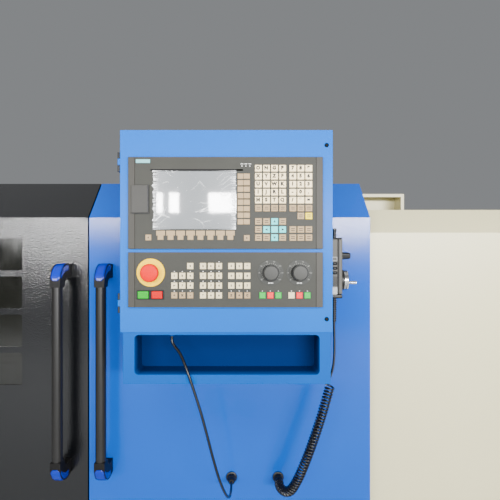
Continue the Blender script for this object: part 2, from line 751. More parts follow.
def offset_path(path, distance):
    """The path moved sideways to its right hand by one distance, with mitred corners."""
    moved = []
    for i, point in enumerate(path):
        here = Vector(point)
        before = (here - Vector(path[i - 1])).normalized() if i > 0 else None
        after = (Vector(path[i + 1]) - here).normalized() if i < len(path) - 1 else None
        sides = [Vector((d.y, -d.x)) for d in (before, after) if d is not None]
        middle = sum(sides, Vector((0, 0))).normalized()
        moved.append(here + middle * distance / middle.dot(sides[0]))
    return moved


def folded_panel(path, x_span, depth, thickness):
    """A sheet folded along X to a (Y, Z) path, with returns of one depth at its sides and foot."""
    inner = offset_path(path, depth)
    shape = bmesh.new()
    rows = []
    for (y, z), (inner_y, inner_z) in zip(path, inner):
        outer_pair = [shape.verts.new((x, y, z)) for x in x_span]
        inner_pair = [shape.verts.new((x, inner_y, inner_z)) for x in x_span]
        rows.append((outer_pair, inner_pair))
    for (low, low_in), (high, high_in) in zip(rows, rows[1:]):
        shape.faces.new((low[0], low[1], high[1], high[0]))
        shape.faces.new((low[0], high[0], high_in[0], low_in[0]))
        shape.faces.new((low[1], low_in[1], high_in[1], high[1]))
    foot, foot_in = rows[0]
    shape.faces.new((foot[0], foot_in[0], foot_in[1], foot[1]))
    return solid_sheet(shape, thickness)


def folded_cover(path, x_span, closed_end, thickness):
    """A sheet folded along X to a (Y, Z) path, with one end closed by a flat wall."""
    shape = bmesh.new()
    rows = [[shape.verts.new((x, y, z)) for x in x_span] for y, z in path]
    for low, high in zip(rows, rows[1:]):
        shape.faces.new((low[0], low[1], high[1], high[0]))
    ends = [row[closed_end] for row in rows]
    shape.faces.new(ends if closed_end == 0 else ends[::-1])
    return solid_sheet(shape, thickness)


def solid_sheet(shape, thickness):
    obj = mesh_object("sheet", shape)
    solidify = obj.modifiers.new("thickness", "SOLIDIFY")
    solidify.thickness = thickness
    solidify.offset = -1
    solidify.use_even_offset = True
    return obj


def smooth_route(points, count):
    """Evenly spaced points on a smooth curve through the route's own points."""
    path = [Vector(p) for p in points]
    path = [path[0] * 2 - path[1]] + path + [path[-1] * 2 - path[-2]]
    fine = []
    for a, b, c, d in zip(path, path[1:], path[2:], path[3:]):
        for step in range(ROUTE_STEPS):
            t = step / ROUTE_STEPS
            fine.append(
                b + ((c - a) * t + (2 * a - 5 * b + 4 * c - d) * t**2 + (3 * b - a - 3 * c + d) * t**3) / 2
            )
    fine.append(path[-2])
    lengths = [0.0]
    for a, b in zip(fine, fine[1:]):
        lengths.append(lengths[-1] + (b - a).length)
    even = []
    at = 0
    for step in range(count):
        goal = lengths[-1] * step / (count - 1)
        while at < len(lengths) - 2 and lengths[at + 1] < goal:
            at += 1
        part = (goal - lengths[at]) / (lengths[at + 1] - lengths[at])
        even.append(fine[at].lerp(fine[at + 1], min(max(part, 0), 1)))
    return even


def tube(points, radius, resolution):
    """A round tube along points, with filled ends."""
    curve = bpy.data.curves.new("tube", "CURVE")
    curve.dimensions = "3D"
    curve.bevel_depth = radius
    curve.bevel_resolution = resolution
    curve.use_fill_caps = True
    spline = curve.splines.new("POLY")
    spline.points.add(len(points) - 1)
    for point, place in zip(spline.points, points):
        point.co = (*place, 1)
    return new_object("tube", curve)


def use_tool(target, tool, operation):
    modifier = target.modifiers.new(operation.lower(), "BOOLEAN")
    modifier.operation = operation
    modifier.object = tool
    tool.hide_render = True
    tool.display_type = "WIRE"
    SHAPES.objects.unlink(tool)
    TOOLS.objects.link(tool)


def cut(target, *tools):
    for tool in tools:
        use_tool(target, tool, "DIFFERENCE")
    return target


def join(target, *tools):
    for tool in tools:
        use_tool(target, tool, "UNION")
    return target


def round_edges(obj, width, segments=2, angle=40):
    bevel = obj.modifiers.new("rounding", "BEVEL")
    bevel.width = width
    bevel.segments = segments
    bevel.limit_method = "ANGLE"
    bevel.angle_limit = math.radians(angle)
    return obj


def finish(obj, name, finish_name):
    """Names a piece and gives it its material."""
    colour, roughness, metallic = FINISHES[finish_name]
    paint = bpy.data.materials.new(name + "_" + finish_name)
    paint.use_nodes = True
    shader = paint.node_tree.nodes["Principled BSDF"]
    shader.inputs["Base Color"].default_value = (*colour, 1)
    shader.inputs["Roughness"].default_value = roughness
    shader.inputs["Metallic"].default_value = metallic
    obj.name = name
    obj.data.name = name
    obj.data.materials.clear()
    obj.data.materials.append(paint)
    return obj


def assembly(name, pivot, pieces):
    """An empty on the joint's axis that carries the pieces that move together."""
    carrier = bpy.data.objects.new(name, None)
    SHAPES.objects.link(carrier)
    carrier.location = pivot
    bpy.context.view_layer.update()
    for piece in pieces:
        place = piece.matrix_world.copy()
        piece.parent = carrier
        piece.matrix_parent_inverse = carrier.matrix_world.inverted()
        piece.matrix_world = place
    return carrier


# Base: pedestals, chip pan and bed

def pedestal(name, x_span):
    """A closed base casting with a shallow panel in its front, on four round feet."""
    body_z = (PEDESTAL_FOOT_HEIGHT, PEDESTAL_HEIGHT)
    body = box(x_span, (COVER_FACE_Y, COVER_BACK_Y), body_z)
    foot_x = (x_span[0] + PEDESTAL_FOOT_INSET, x_span[1] - PEDESTAL_FOOT_INSET)
    foot_y = (COVER_FACE_Y + PEDESTAL_FOOT_INSET, COVER_BACK_Y - PEDESTAL_FOOT_INSET)
    panel = box(
        (x_span[0] + PEDESTAL_PANEL_MARGIN, x_span[1] - PEDESTAL_PANEL_MARGIN),
        (COVER_FACE_Y - CUT_OVERRUN, COVER_FACE_Y + PEDESTAL_PANEL_DEPTH),
        (body_z[0] + PEDESTAL_PANEL_MARGIN, body_z[1] - PEDESTAL_PANEL_MARGIN),
    )
    cut(body, panel)
    for x in foot_x:
        for y in foot_y:
            join(body, rod((x, y, 0), (x, y, body_z[0] + CUT_OVERRUN), PEDESTAL_FOOT_RADIUS, SMALL_SIDES))
    return finish(body, name, "dark_textured_paint")


def chip_pan():
    """An open tray between the pedestals, with the doors' lower rail along its front."""
    x_span = (LEFT_END_X + LEFT_PEDESTAL_WIDTH + SEAT_GAP, RIGHT_END_X - RIGHT_PEDESTAL_WIDTH - SEAT_GAP)
    front = COVER_FACE_Y - PAN_FRONT_INSET
    tray = box(x_span, (front, COVER_BACK_Y), (PAN_BOTTOM_Z, PAN_TOP_Z))
    hollow = box(
        (x_span[0] + PAN_WALL, x_span[1] - PAN_WALL),
        (front + PAN_WALL, COVER_BACK_Y - PAN_WALL),
        (PAN_BOTTOM_Z + PAN_WALL, PAN_TOP_Z + CUT_OVERRUN),
    )
    cut(tray, hollow)
    rail = box(
        (LEFT_END_X + RAIL_END_INSET, RIGHT_END_X - RAIL_END_INSET),
        (RAIL_FRONT_Y, front + JOINT_LAP),
        (LOWER_RAIL_TOP_Z - LOWER_RAIL_HEIGHT, LOWER_RAIL_TOP_Z),
    )
    join(tray, rail)
    return finish(tray, "chip_pan", "dark_textured_paint")


def bed():
    """The cast bed: two box ways over a channel with cross ribs, and the ball screw's bearings."""
    inner_front = BED_FRONT_Y + WAY_WIDTH
    inner_back = BED_BACK_Y - WAY_WIDTH
    way_base = BED_TOP_Z - WAY_THICKNESS
    wall_top = way_base - WAY_LIP
    channel = BED_TOP_Z - CHANNEL_DEPTH
    outline = [
        (BED_FRONT_Y + WAY_LIP, BED_BOTTOM_Z), (BED_BACK_Y - WAY_LIP, BED_BOTTOM_Z),
        (BED_BACK_Y - WAY_LIP, wall_top), (BED_BACK_Y, way_base), (BED_BACK_Y, BED_TOP_Z),
        (inner_back, BED_TOP_Z), (inner_back, way_base), (inner_back + WAY_LIP, wall_top),
        (inner_back + WAY_LIP, channel), (inner_front - WAY_LIP, channel), (inner_front - WAY_LIP, wall_top),
        (inner_front, way_base), (inner_front, BED_TOP_Z), (BED_FRONT_Y, BED_TOP_Z),
        (BED_FRONT_Y, way_base), (BED_FRONT_Y + WAY_LIP, wall_top),
    ]
    casting = prism([outline], (BED_LEFT_X, BED_RIGHT_X), "X")
    pitch = (BED_RIGHT_X - BED_LEFT_X) / (BED_RIBS + 1)
    rib_y = (inner_front - WAY_LIP - JOINT_LAP, inner_back + WAY_LIP + JOINT_LAP)
    rib_z = (channel - JOINT_LAP, channel + BED_RIB_HEIGHT)
    ribs = [
        (around(BED_LEFT_X + pitch * (i + 1), BED_RIB_WIDTH), rib_y, rib_z) for i in range(BED_RIBS)
    ]
    bearing_y = (SCREW_Y - BEARING_WIDTH / 2, BED_FRONT_Y + WAY_LIP + JOINT_LAP)
    bearing_z = around(SCREW_Z, BEARING_HEIGHT)
    servo_x = RIGHT_BEARING_X + BEARING_LENGTH
    blocks = [
        ((LEFT_BEARING_X, LEFT_BEARING_X + BEARING_LENGTH), bearing_y, bearing_z),
        ((RIGHT_BEARING_X, servo_x), bearing_y, bearing_z),
    ]
    servo = box(
        (servo_x - JOINT_LAP, servo_x + SERVO_LENGTH), around(SCREW_Y, SERVO_SIZE),
        around(SCREW_Z, SERVO_SIZE),
    )
    join(casting, boxes(ribs), boxes(blocks), servo)
    bore = rod(
        (LEFT_BEARING_X - CUT_OVERRUN, SCREW_Y, SCREW_Z), (servo_x, SCREW_Y, SCREW_Z),
        SCREW_JOURNAL_RADIUS + RUNNING_GAP,
    )
    cut(casting, bore)
    return finish(casting, "bed", "cast_iron")


def ball_screw():
    """The lengthways ball screw, with a plain journal at each end."""
    length = SCREW_RIGHT_X - SCREW_LEFT_X
    left_shoulder = LEFT_BEARING_X + BEARING_LENGTH + RUNNING_GAP - SCREW_LEFT_X
    right_shoulder = RIGHT_BEARING_X - RUNNING_GAP - SCREW_LEFT_X
    profile = [
        (0, length), (SCREW_JOURNAL_RADIUS, length), (SCREW_JOURNAL_RADIUS, right_shoulder),
        (SCREW_RADIUS, right_shoulder), (SCREW_RADIUS, left_shoulder),
        (SCREW_JOURNAL_RADIUS, left_shoulder), (SCREW_JOURNAL_RADIUS, 0), (0, 0),
    ]
    screw = turned(profile, (SCREW_LEFT_X, SCREW_Y, SCREW_Z), (1, 0, 0))
    return finish(screw, "z_ball_screw", "bright_steel")


# Covers, rails, rear guard and cabinet

def cover(name, x_span, closed_end):
    path = [
        (COVER_FACE_Y, COVER_BOTTOM_Z), (COVER_FACE_Y, COVER_TOP_Z - COVER_BAND_RISE),
        (COVER_BAND_Y, COVER_TOP_Z), (COVER_STEP_Y, COVER_TOP_Z), (COVER_STEP_Y, COVER_DECK_Z),
        (COVER_BACK_Y, COVER_DECK_Z), (COVER_BACK_Y, COVER_BOTTOM_Z),
    ]
    return folded_cover(path, x_span, closed_end, COVER_SHEET)


def left_cover():
    shell = cover("left_cover", (LEFT_END_X, LEFT_COVER_EDGE_X), 0)
    hole = rod(
        (LEFT_END_X - CUT_OVERRUN, SPINDLE_Y, SPINDLE_Z),
        (LEFT_END_X + COVER_SHEET + CUT_OVERRUN, SPINDLE_Y, SPINDLE_Z), BAR_STOCK_HOLE_RADIUS,
    )
    return finish(cut(shell, hole), "left_cover", "cream_textured_paint")


def right_cover():
    shell = cover("right_cover", (RIGHT_COVER_EDGE_X, RIGHT_END_X), 1)
    return finish(shell, "right_cover", "cream_textured_paint")


def upper_rail():
    y_span = (UPPER_RAIL_Y, UPPER_RAIL_Y + UPPER_RAIL_DEPTH)
    z_span = (UPPER_RAIL_BOTTOM_Z, UPPER_RAIL_TOP_Z)
    outer = [(y_span[0], z_span[0]), (y_span[1], z_span[0]), (y_span[1], z_span[1]), (y_span[0], z_span[1])]
    wall = UPPER_RAIL_WALL
    inner = [
        (y_span[0] + wall, z_span[0] + wall), (y_span[1] - wall, z_span[0] + wall),
        (y_span[1] - wall, z_span[1] - wall), (y_span[0] + wall, z_span[1] - wall),
    ]
    rail = prism([outer, inner], (LEFT_END_X + RAIL_END_INSET, RIGHT_END_X - RAIL_END_INSET), "X")
    return finish(rail, "upper_rail", "bright_steel")


def rear_guard():
    """A hood open to the front, with a narrow lip turned in around its opening."""
    x_span = (-GUARD_HALF_LENGTH, GUARD_HALF_LENGTH)
    z_span = (GUARD_BOTTOM_Z, GUARD_TOP_Z)
    hood = box(x_span, (GUARD_FRONT_Y, GUARD_BACK_Y), z_span)
    hollow = box(
        (x_span[0] + GUARD_SHEET, x_span[1] - GUARD_SHEET),
        (GUARD_FRONT_Y + GUARD_SHEET, GUARD_BACK_Y - GUARD_SHEET),
        (z_span[0] + GUARD_SHEET, z_span[1] - GUARD_SHEET),
    )
    opening = box(
        (x_span[0] + GUARD_LIP, x_span[1] - GUARD_LIP),
        (GUARD_FRONT_Y - CUT_OVERRUN, GUARD_FRONT_Y + GUARD_SHEET + CUT_OVERRUN),
        (z_span[0] + GUARD_LIP, z_span[1] - GUARD_LIP),
    )
    join(hollow, opening)
    return finish(cut(hood, hollow), "rear_guard", "cream_textured_paint")


def electrical_cabinet():
    """The cabinet on its plinth, with a two-leaf door, handles and louvres at the back."""
    front = GUARD_BACK_Y + SEAT_GAP
    x_span = (-CABINET_HALF_LENGTH, CABINET_HALF_LENGTH)
    body = box(x_span, (front, CABINET_BACK_Y), (CABINET_PLINTH_HEIGHT, CABINET_HEIGHT))
    plinth = box(
        (x_span[0] + CABINET_PLINTH_INSET, x_span[1] - CABINET_PLINTH_INSET),
        (front + CABINET_PLINTH_INSET, CABINET_BACK_Y - CABINET_PLINTH_INSET),
        (0, CABINET_PLINTH_HEIGHT + JOINT_LAP),
    )
    door_y = (CABINET_BACK_Y - JOINT_LAP, CABINET_BACK_Y + CABINET_DOOR_PROUD)
    door_z = (CABINET_PLINTH_HEIGHT + CABINET_DOOR_MARGIN, CABINET_HEIGHT - CABINET_DOOR_MARGIN)
    half_gap = CABINET_DOOR_GAP / 2
    leaves = [
        ((x_span[0] + CABINET_DOOR_MARGIN, -half_gap), door_y, door_z),
        ((half_gap, x_span[1] - CABINET_DOOR_MARGIN), door_y, door_z),
    ]
    handle_y = (door_y[1] - JOINT_LAP, door_y[1] + CABINET_HANDLE_PROUD)
    handle_z = around(CABINET_HEIGHT / 2, CABINET_HANDLE_HEIGHT)
    handle = box(around(CABINET_HANDLE_WIDTH, CABINET_HANDLE_WIDTH), handle_y, handle_z)
    join(body, plinth, boxes(leaves), handle)
    slots = [
        (
            around(side * CABINET_HALF_LENGTH / 2, LOUVRE_WIDTH),
            (door_y[1] - LOUVRE_DEPTH, door_y[1] + CUT_OVERRUN),
            (LOUVRE_BASE_Z + LOUVRE_PITCH * i, LOUVRE_BASE_Z + LOUVRE_PITCH * i + LOUVRE_HEIGHT),
        )
        for side in (-1, 1)
        for i in range(LOUVRE_COUNT)
    ]
    return finish(cut(body, boxes(slots)), "electrical_cabinet", "cream_textured_paint")


# Headstock, spindle and chuck

def headstock():
    """The headstock casting: a waisted box with sloped shoulders on a wide foot."""
    half = HEADSTOCK_HALF_WIDTH
    waist = half - HEADSTOCK_WAIST
    base = BED_TOP_Z + SEAT_GAP
    foot = base + HEADSTOCK_FOOT_HEIGHT
    top = base + HEADSTOCK_HEIGHT
    right = [
        (half, base), (half, foot), (waist, foot + HEADSTOCK_WAIST),
        (waist, top - HEADSTOCK_SHOULDER), (waist - HEADSTOCK_SHOULDER, top),
    ]
    outline = [(SPINDLE_Y + y, z) for y, z in right] + [(SPINDLE_Y - y, z) for y, z in reversed(right)]
    left = HEADSTOCK_RIGHT_X - HEADSTOCK_LENGTH
    casting = prism([outline], (left, HEADSTOCK_RIGHT_X), "X")
    bore = rod(
        (left - CUT_OVERRUN, SPINDLE_Y, SPINDLE_Z), (HEADSTOCK_RIGHT_X + CUT_OVERRUN, SPINDLE_Y, SPINDLE_Z),
        SPINDLE_RADIUS + RUNNING_GAP,
    )
    return finish(cut(casting, bore), "headstock", "dark_textured_paint")


def spindle():
    """The hollow spindle with its nose flange and the grooved belt pulley at its left end."""
    left = HEADSTOCK_RIGHT_X - HEADSTOCK_LENGTH - PULLEY_GAP - PULLEY_WIDTH
    length = SPINDLE_NOSE_X - left
    flange = length - SPINDLE_NOSE_LENGTH + SEAT_GAP
    profile = [
        (SPINDLE_BORE_RADIUS, length), (SPINDLE_NOSE_RADIUS, length), (SPINDLE_NOSE_RADIUS, flange),
        (SPINDLE_RADIUS, flange), (SPINDLE_RADIUS, PULLEY_WIDTH), (PULLEY_RADIUS, PULLEY_WIDTH),
    ]
    pitch = PULLEY_WIDTH / PULLEY_GROOVES
    land = pitch * PULLEY_LAND_SHARE
    for i in range(PULLEY_GROOVES):
        top = PULLEY_WIDTH - pitch * i
        profile += [
            (PULLEY_RADIUS, top - land), (PULLEY_RADIUS - PULLEY_GROOVE_DEPTH, top - pitch / 2),
            (PULLEY_RADIUS, top - pitch + land),
        ]
    profile += [(PULLEY_RADIUS, 0), (SPINDLE_BORE_RADIUS, 0)]
    shaft = turned(profile, (left, SPINDLE_Y, SPINDLE_Z), (1, 0, 0))
    return finish(shaft, "spindle", "bright_steel")


def turn_about_spindle(obj, angle):
    centre = Matrix.Translation((0, SPINDLE_Y, SPINDLE_Z))
    obj.matrix_world = centre @ Matrix.Rotation(angle, 4, "X") @ centre.inverted() @ obj.matrix_world
    return obj


def chuck():
    length = CHUCK_LENGTH
    profile = [
        (SPINDLE_BORE_RADIUS, length), (CHUCK_RADIUS - CHUCK_RELIEF, length),
        (CHUCK_RADIUS, length - CHUCK_RELIEF), (CHUCK_RADIUS, CHUCK_RELIEF),
        (CHUCK_RADIUS - CHUCK_RELIEF, 0), (SPINDLE_BORE_RADIUS, 0),
    ]
    body = turned(profile, (CHUCK_BACK_X, SPINDLE_Y, SPINDLE_Z), (1, 0, 0))
    for i in range(JAW_COUNT):
        slot = box(
            (CHUCK_FACE_X - JAW_SLOT_DEPTH, CHUCK_FACE_X + CUT_OVERRUN), around(SPINDLE_Y, JAW_SLOT_WIDTH),
            (SPINDLE_Z + SPINDLE_BORE_RADIUS / 2, SPINDLE_Z + CHUCK_RADIUS + CUT_OVERRUN),
        )
        cut(body, turn_about_spindle(slot, 2 * math.pi * i / JAW_COUNT))
    return finish(body, "chuck", "bright_steel")


def chuck_jaw(index):
    """A stepped jaw whose key runs in the chuck's radial slot."""
    back = CHUCK_FACE_X + SEAT_GAP
    face = back + JAW_HEIGHT
    reach = JAW_OUTER_RADIUS - JAW_INNER_RADIUS
    inner = SPINDLE_Z + JAW_INNER_RADIUS
    first, second = (inner + reach * share for share in JAW_STEP_SHARES)
    middle, low = (back + JAW_HEIGHT * share for share in JAW_STEP_HEIGHT_SHARES)
    outer = inner + reach
    outline = [
        (back, inner), (face, inner), (face, first), (middle, first), (middle, second),
        (low, second), (low, outer), (back, outer),
    ]
    jaw = prism([outline], around(-SPINDLE_Y, JAW_WIDTH), "Y")
    jaw.matrix_world = Matrix.Translation((0, 2 * SPINDLE_Y, 0)) @ jaw.matrix_world
    key = box(
        (CHUCK_FACE_X - JAW_SLOT_DEPTH + RUNNING_GAP, back + JOINT_LAP),
        around(SPINDLE_Y, JAW_SLOT_WIDTH - 2 * RUNNING_GAP), (inner, outer),
    )
    angle = 2 * math.pi * index / JAW_COUNT
    turn_about_spindle(key, angle)
    turn_about_spindle(jaw, angle)
    return finish(join(jaw, key), f"chuck_jaw_{index + 1}", "bright_steel")


def main_motor():
    """The spindle motor on its foot behind the headstock, with its terminal box."""
    z = PEDESTAL_HEIGHT + MOTOR_RISE
    right = MOTOR_LEFT_X + MOTOR_LENGTH
    body = rod((MOTOR_LEFT_X, MOTOR_Y, z), (right, MOTOR_Y, z), MOTOR_RADIUS)
    foot = box(
        (MOTOR_LEFT_X + MOTOR_FOOT_HEIGHT, right - MOTOR_FOOT_HEIGHT), around(MOTOR_Y, MOTOR_FOOT_WIDTH),
        (PEDESTAL_HEIGHT + SEAT_GAP, PEDESTAL_HEIGHT + MOTOR_FOOT_HEIGHT),
    )
    terminals = box(
        around((MOTOR_LEFT_X + right) / 2, MOTOR_BOX_SIZE), around(MOTOR_Y, MOTOR_BOX_SIZE),
        (z + MOTOR_RADIUS / 2, z + MOTOR_RADIUS + MOTOR_BOX_HEIGHT),
    )
    shaft = rod(
        (MOTOR_LEFT_X - MOTOR_SHAFT_LENGTH, MOTOR_Y, z), (MOTOR_LEFT_X + CUT_OVERRUN, MOTOR_Y, z),
        MOTOR_SHAFT_RADIUS, SMALL_SIDES,
    )
    return finish(join(body, foot, terminals, shaft), "main_motor", "black_plastic")


# Saddle, cross slide, turret and tailstock

def saddle():
    """The saddle: wings on both ways, a bridge with a dovetail, and the apron round the screw."""
    base = BED_TOP_Z + SEAT_GAP
    top = base + SADDLE_THICKNESS
    wing_x = around(SADDLE_X, SADDLE_LENGTH)
    waist_x = around(SADDLE_X, SADDLE_WAIST)
    front = BED_FRONT_Y - SADDLE_FRONT_REACH
    back = BED_BACK_Y + SADDLE_BACK_REACH
    front_inner = BED_FRONT_Y + WAY_WIDTH
    back_inner = BED_BACK_Y - WAY_WIDTH
    taper = SADDLE_WING_TAPER
    outline = [
        (wing_x[0], front), (wing_x[1], front), (wing_x[1], front_inner - taper), (waist_x[1], front_inner),
        (waist_x[1], back_inner), (wing_x[1], back_inner + taper), (wing_x[1], back), (wing_x[0], back),
        (wing_x[0], back_inner + taper), (waist_x[0], back_inner), (waist_x[0], front_inner),
        (wing_x[0], front_inner - taper),
    ]
    body = prism([outline], (base, top), "Z")
    apron = box(
        around(SADDLE_X, APRON_LENGTH), (front + APRON_INSET, front + APRON_INSET + APRON_DEPTH),
        (base - APRON_DROP, base + JOINT_LAP),
    )
    half = DOVETAIL_WIDTH / 2
    flare = half + DOVETAIL_FLARE
    tail_top = top + DOVETAIL_HEIGHT
    tail = prism(
        [[
            (SADDLE_X - half, top - JOINT_LAP), (SADDLE_X + half, top - JOINT_LAP),
            (SADDLE_X + flare, tail_top), (SADDLE_X - flare, tail_top),
        ]],
        (DOVETAIL_FRONT_Y, DOVETAIL_FRONT_Y + DOVETAIL_LENGTH), "Y",
    )
    hole = rod(
        (SADDLE_X - APRON_LENGTH / 2 - CUT_OVERRUN, SCREW_Y, SCREW_Z),
        (SADDLE_X + APRON_LENGTH / 2 + CUT_OVERRUN, SCREW_Y, SCREW_Z), SCREW_RADIUS + RUNNING_GAP,
    )
    join(body, apron, tail)
    return finish(cut(body, hole), "saddle", "cast_iron")


def cross_slide():
    base = BED_TOP_Z + SEAT_GAP + SADDLE_THICKNESS + SEAT_GAP
    half = DOVETAIL_WIDTH / 2 + RUNNING_GAP * 2
    flare = half + DOVETAIL_FLARE
    groove_top = base + DOVETAIL_HEIGHT
    top = base + CROSS_HEIGHT
    left, right = around(SADDLE_X, CROSS_WIDTH)
    outline = [
        (left, base), (SADDLE_X - half, base),
        (SADDLE_X - flare, groove_top), (SADDLE_X + flare, groove_top),
        (SADDLE_X + half, base), (right, base), (right, top - CROSS_CHAMFER), (right - CROSS_CHAMFER, top),
        (left + CROSS_CHAMFER, top), (left, top - CROSS_CHAMFER),
    ]
    slide = prism([outline], (CROSS_FRONT_Y, CROSS_FRONT_Y + CROSS_LENGTH), "Y")
    return finish(slide, "cross_slide", "cast_iron")


def tool_turret():
    """A square turret with a tool bar clamped in a slot on each side."""
    base = BED_TOP_Z + SEAT_GAP * 3 + SADDLE_THICKNESS + CROSS_HEIGHT
    top = base + TURRET_HEIGHT
    slot_z = (SPINDLE_Z - TOOL_SIZE, SPINDLE_Z - TOOL_SIZE + TOOL_SLOT_HEIGHT)
    half = TURRET_SIZE / 2
    corner = half - TURRET_CHAMFER
    ring = [
        (half, -corner), (half, corner), (corner, half), (-corner, half),
        (-half, corner), (-half, -corner), (-corner, -half), (corner, -half),
    ]
    body = prism([[(SADDLE_X + x, TURRET_Y + y) for x, y in ring]], (base, top), "Z")
    nut = rod(
        (SADDLE_X, TURRET_Y, top - JOINT_LAP), (SADDLE_X, TURRET_Y, top + TURRET_NUT_HEIGHT),
        TURRET_NUT_RADIUS, TURRET_NUT_SIDES,
    )
    join(body, nut)
    centre = Matrix.Translation((SADDLE_X, TURRET_Y, 0))
    for i in range(TOOL_COUNT):
        turn = centre @ Matrix.Rotation(math.pi / 2 * i, 4, "Z") @ centre.inverted()
        slot = box(
            (SADDLE_X - half - CUT_OVERRUN, SADDLE_X + half - TOOL_SIZE - TOOL_INSET * 2),
            (TURRET_Y + half - TOOL_SIZE - TOOL_INSET, TURRET_Y + half + CUT_OVERRUN), slot_z,
        )
        bar = box(
            (SADDLE_X - TOOL_REACH, SADDLE_X + half - TOOL_SIZE - TOOL_INSET * 2 + JOINT_LAP),
            (TURRET_Y + half - TOOL_INSET - TOOL_SIZE - JOINT_LAP, TURRET_Y + half - TOOL_INSET),
            (slot_z[0] - JOINT_LAP, SPINDLE_Z),
        )
        relief = box(
            (SADDLE_X - TOOL_REACH - CUT_OVERRUN, SADDLE_X - TOOL_REACH + TOOL_TIP_WIDTH),
            (TURRET_Y + half - TOOL_INSET - TOOL_SIZE + TOOL_TIP_WIDTH, TURRET_Y + half),
            (slot_z[0] - CUT_OVERRUN, SPINDLE_Z + CUT_OVERRUN),
        )
        cut(bar, relief)
        for piece in (slot, bar, relief):
            piece.matrix_world = turn @ piece.matrix_world
        cut(body, slot)
        join(body, bar)
    return finish(body, "tool_turret", "bright_steel")


def tailstock():
    """The tailstock casting: a base on the ways, a tapering web and the quill barrel."""
    x_span = (TAILSTOCK_LEFT_X, TAILSTOCK_LEFT_X + TAILSTOCK_LENGTH)
    base = BED_TOP_Z + SEAT_GAP
    foot_top = base + TAILSTOCK_BASE_HEIGHT
    half = TAILSTOCK_HALF_WIDTH
    wide = TAILSTOCK_WEB_HALF_WIDTH
    narrow = TAILSTOCK_WEB_TOP_HALF_WIDTH
    right = [(half, base), (half, foot_top), (wide, foot_top), (narrow, SPINDLE_Z)]
    outline = [(SPINDLE_Y + y, z) for y, z in right] + [(SPINDLE_Y - y, z) for y, z in reversed(right)]
    casting = prism([outline], x_span, "X")
    barrel = rod(
        (x_span[0] - CUT_OVERRUN, SPINDLE_Y, SPINDLE_Z), (x_span[1] + CUT_OVERRUN, SPINDLE_Y, SPINDLE_Z),
        TAILSTOCK_BARREL_RADIUS,
    )
    bore = rod(
        (x_span[0] - CUT_OVERRUN * 2, SPINDLE_Y, SPINDLE_Z),
        (QUILL_TAIL_X + CUT_OVERRUN, SPINDLE_Y, SPINDLE_Z),
        QUILL_RADIUS + RUNNING_GAP,
    )
    join(casting, barrel)
    return finish(cut(casting, bore), "tailstock", "dark_textured_paint")


def tailstock_quill():
    """The quill with its live centre, whose point is on the spindle axis."""
    tip = TAILSTOCK_LEFT_X - QUILL_REACH - CENTRE_LENGTH
    length = QUILL_TAIL_X - tip
    shoulder = CENTRE_LENGTH
    profile = [
        (0, length), (QUILL_RADIUS, length), (QUILL_RADIUS, shoulder), (CENTRE_RADIUS, shoulder),
        (CENTRE_RADIUS, shoulder * CENTRE_POINT_SHARE), (0, 0),
    ]
    quill = turned(profile, (tip, SPINDLE_Y, SPINDLE_Z), (1, 0, 0))
    return finish(quill, "tailstock_quill", "bright_steel")


# Sliding doors and their handles

def door_shell(x_span):
    path = [
        (DOOR_FACE_Y, DOOR_BOTTOM_Z), (DOOR_FACE_Y, DOOR_FOLD_Z), (DOOR_BAND_Y, DOOR_TOP_Z),
        (DOOR_HOOK_Y, DOOR_TOP_Z), (DOOR_HOOK_Y, DOOR_HOOK_BOTTOM_Z),
    ]
    return folded_panel(path, x_span, DOOR_RETURN, DOOR_SHEET)


def window_span():
    height = WINDOW_ROWS * PANE_OPENING_HEIGHT + (WINDOW_ROWS - 1) * WINDOW_BAR
    return (WINDOW_RIGHT_X - WINDOW_WIDTH, WINDOW_RIGHT_X), (WINDOW_TOP_Z - height, WINDOW_TOP_Z)


def left_door():
    """The left door, with rounded window openings in rows and columns."""
    shell = door_shell((LEFT_COVER_EDGE_X, LEFT_DOOR_EDGE_X))
    x_span, z_span = window_span()
    width = (WINDOW_WIDTH - WINDOW_MULLION * (WINDOW_COLUMNS - 1)) / WINDOW_COLUMNS
    outlines = []
    for row in range(WINDOW_ROWS):
        low = z_span[0] + row * (PANE_OPENING_HEIGHT + WINDOW_BAR)
        for column in range(WINDOW_COLUMNS):
            left = x_span[0] + column * (width + WINDOW_MULLION)
            outlines.append(
                rounded_rectangle((left, left + width), (low, low + PANE_OPENING_HEIGHT), WINDOW_CORNER)
            )
    openings = prism(outlines, (DOOR_FACE_Y - CUT_OVERRUN, DOOR_FACE_Y + DOOR_SHEET + CUT_OVERRUN), "Y")
    return finish(cut(shell, openings), "left_door", "dark_textured_paint")


def left_door_window():
    x_span, z_span = window_span()
    front = DOOR_FACE_Y + DOOR_SHEET + SEAT_GAP
    margin = WINDOW_PLATE_MARGIN
    plate = box(
        (x_span[0] - margin, x_span[1] + margin), (front, front + WINDOW_PLATE),
        (z_span[0] - margin, z_span[1] + margin),
    )
    return finish(plate, "left_door_window", "clear_sheet")


def right_door():
    shell = door_shell((RIGHT_DOOR_EDGE_X, RIGHT_COVER_EDGE_X))
    return finish(shell, "right_door", "blue_textured_paint")


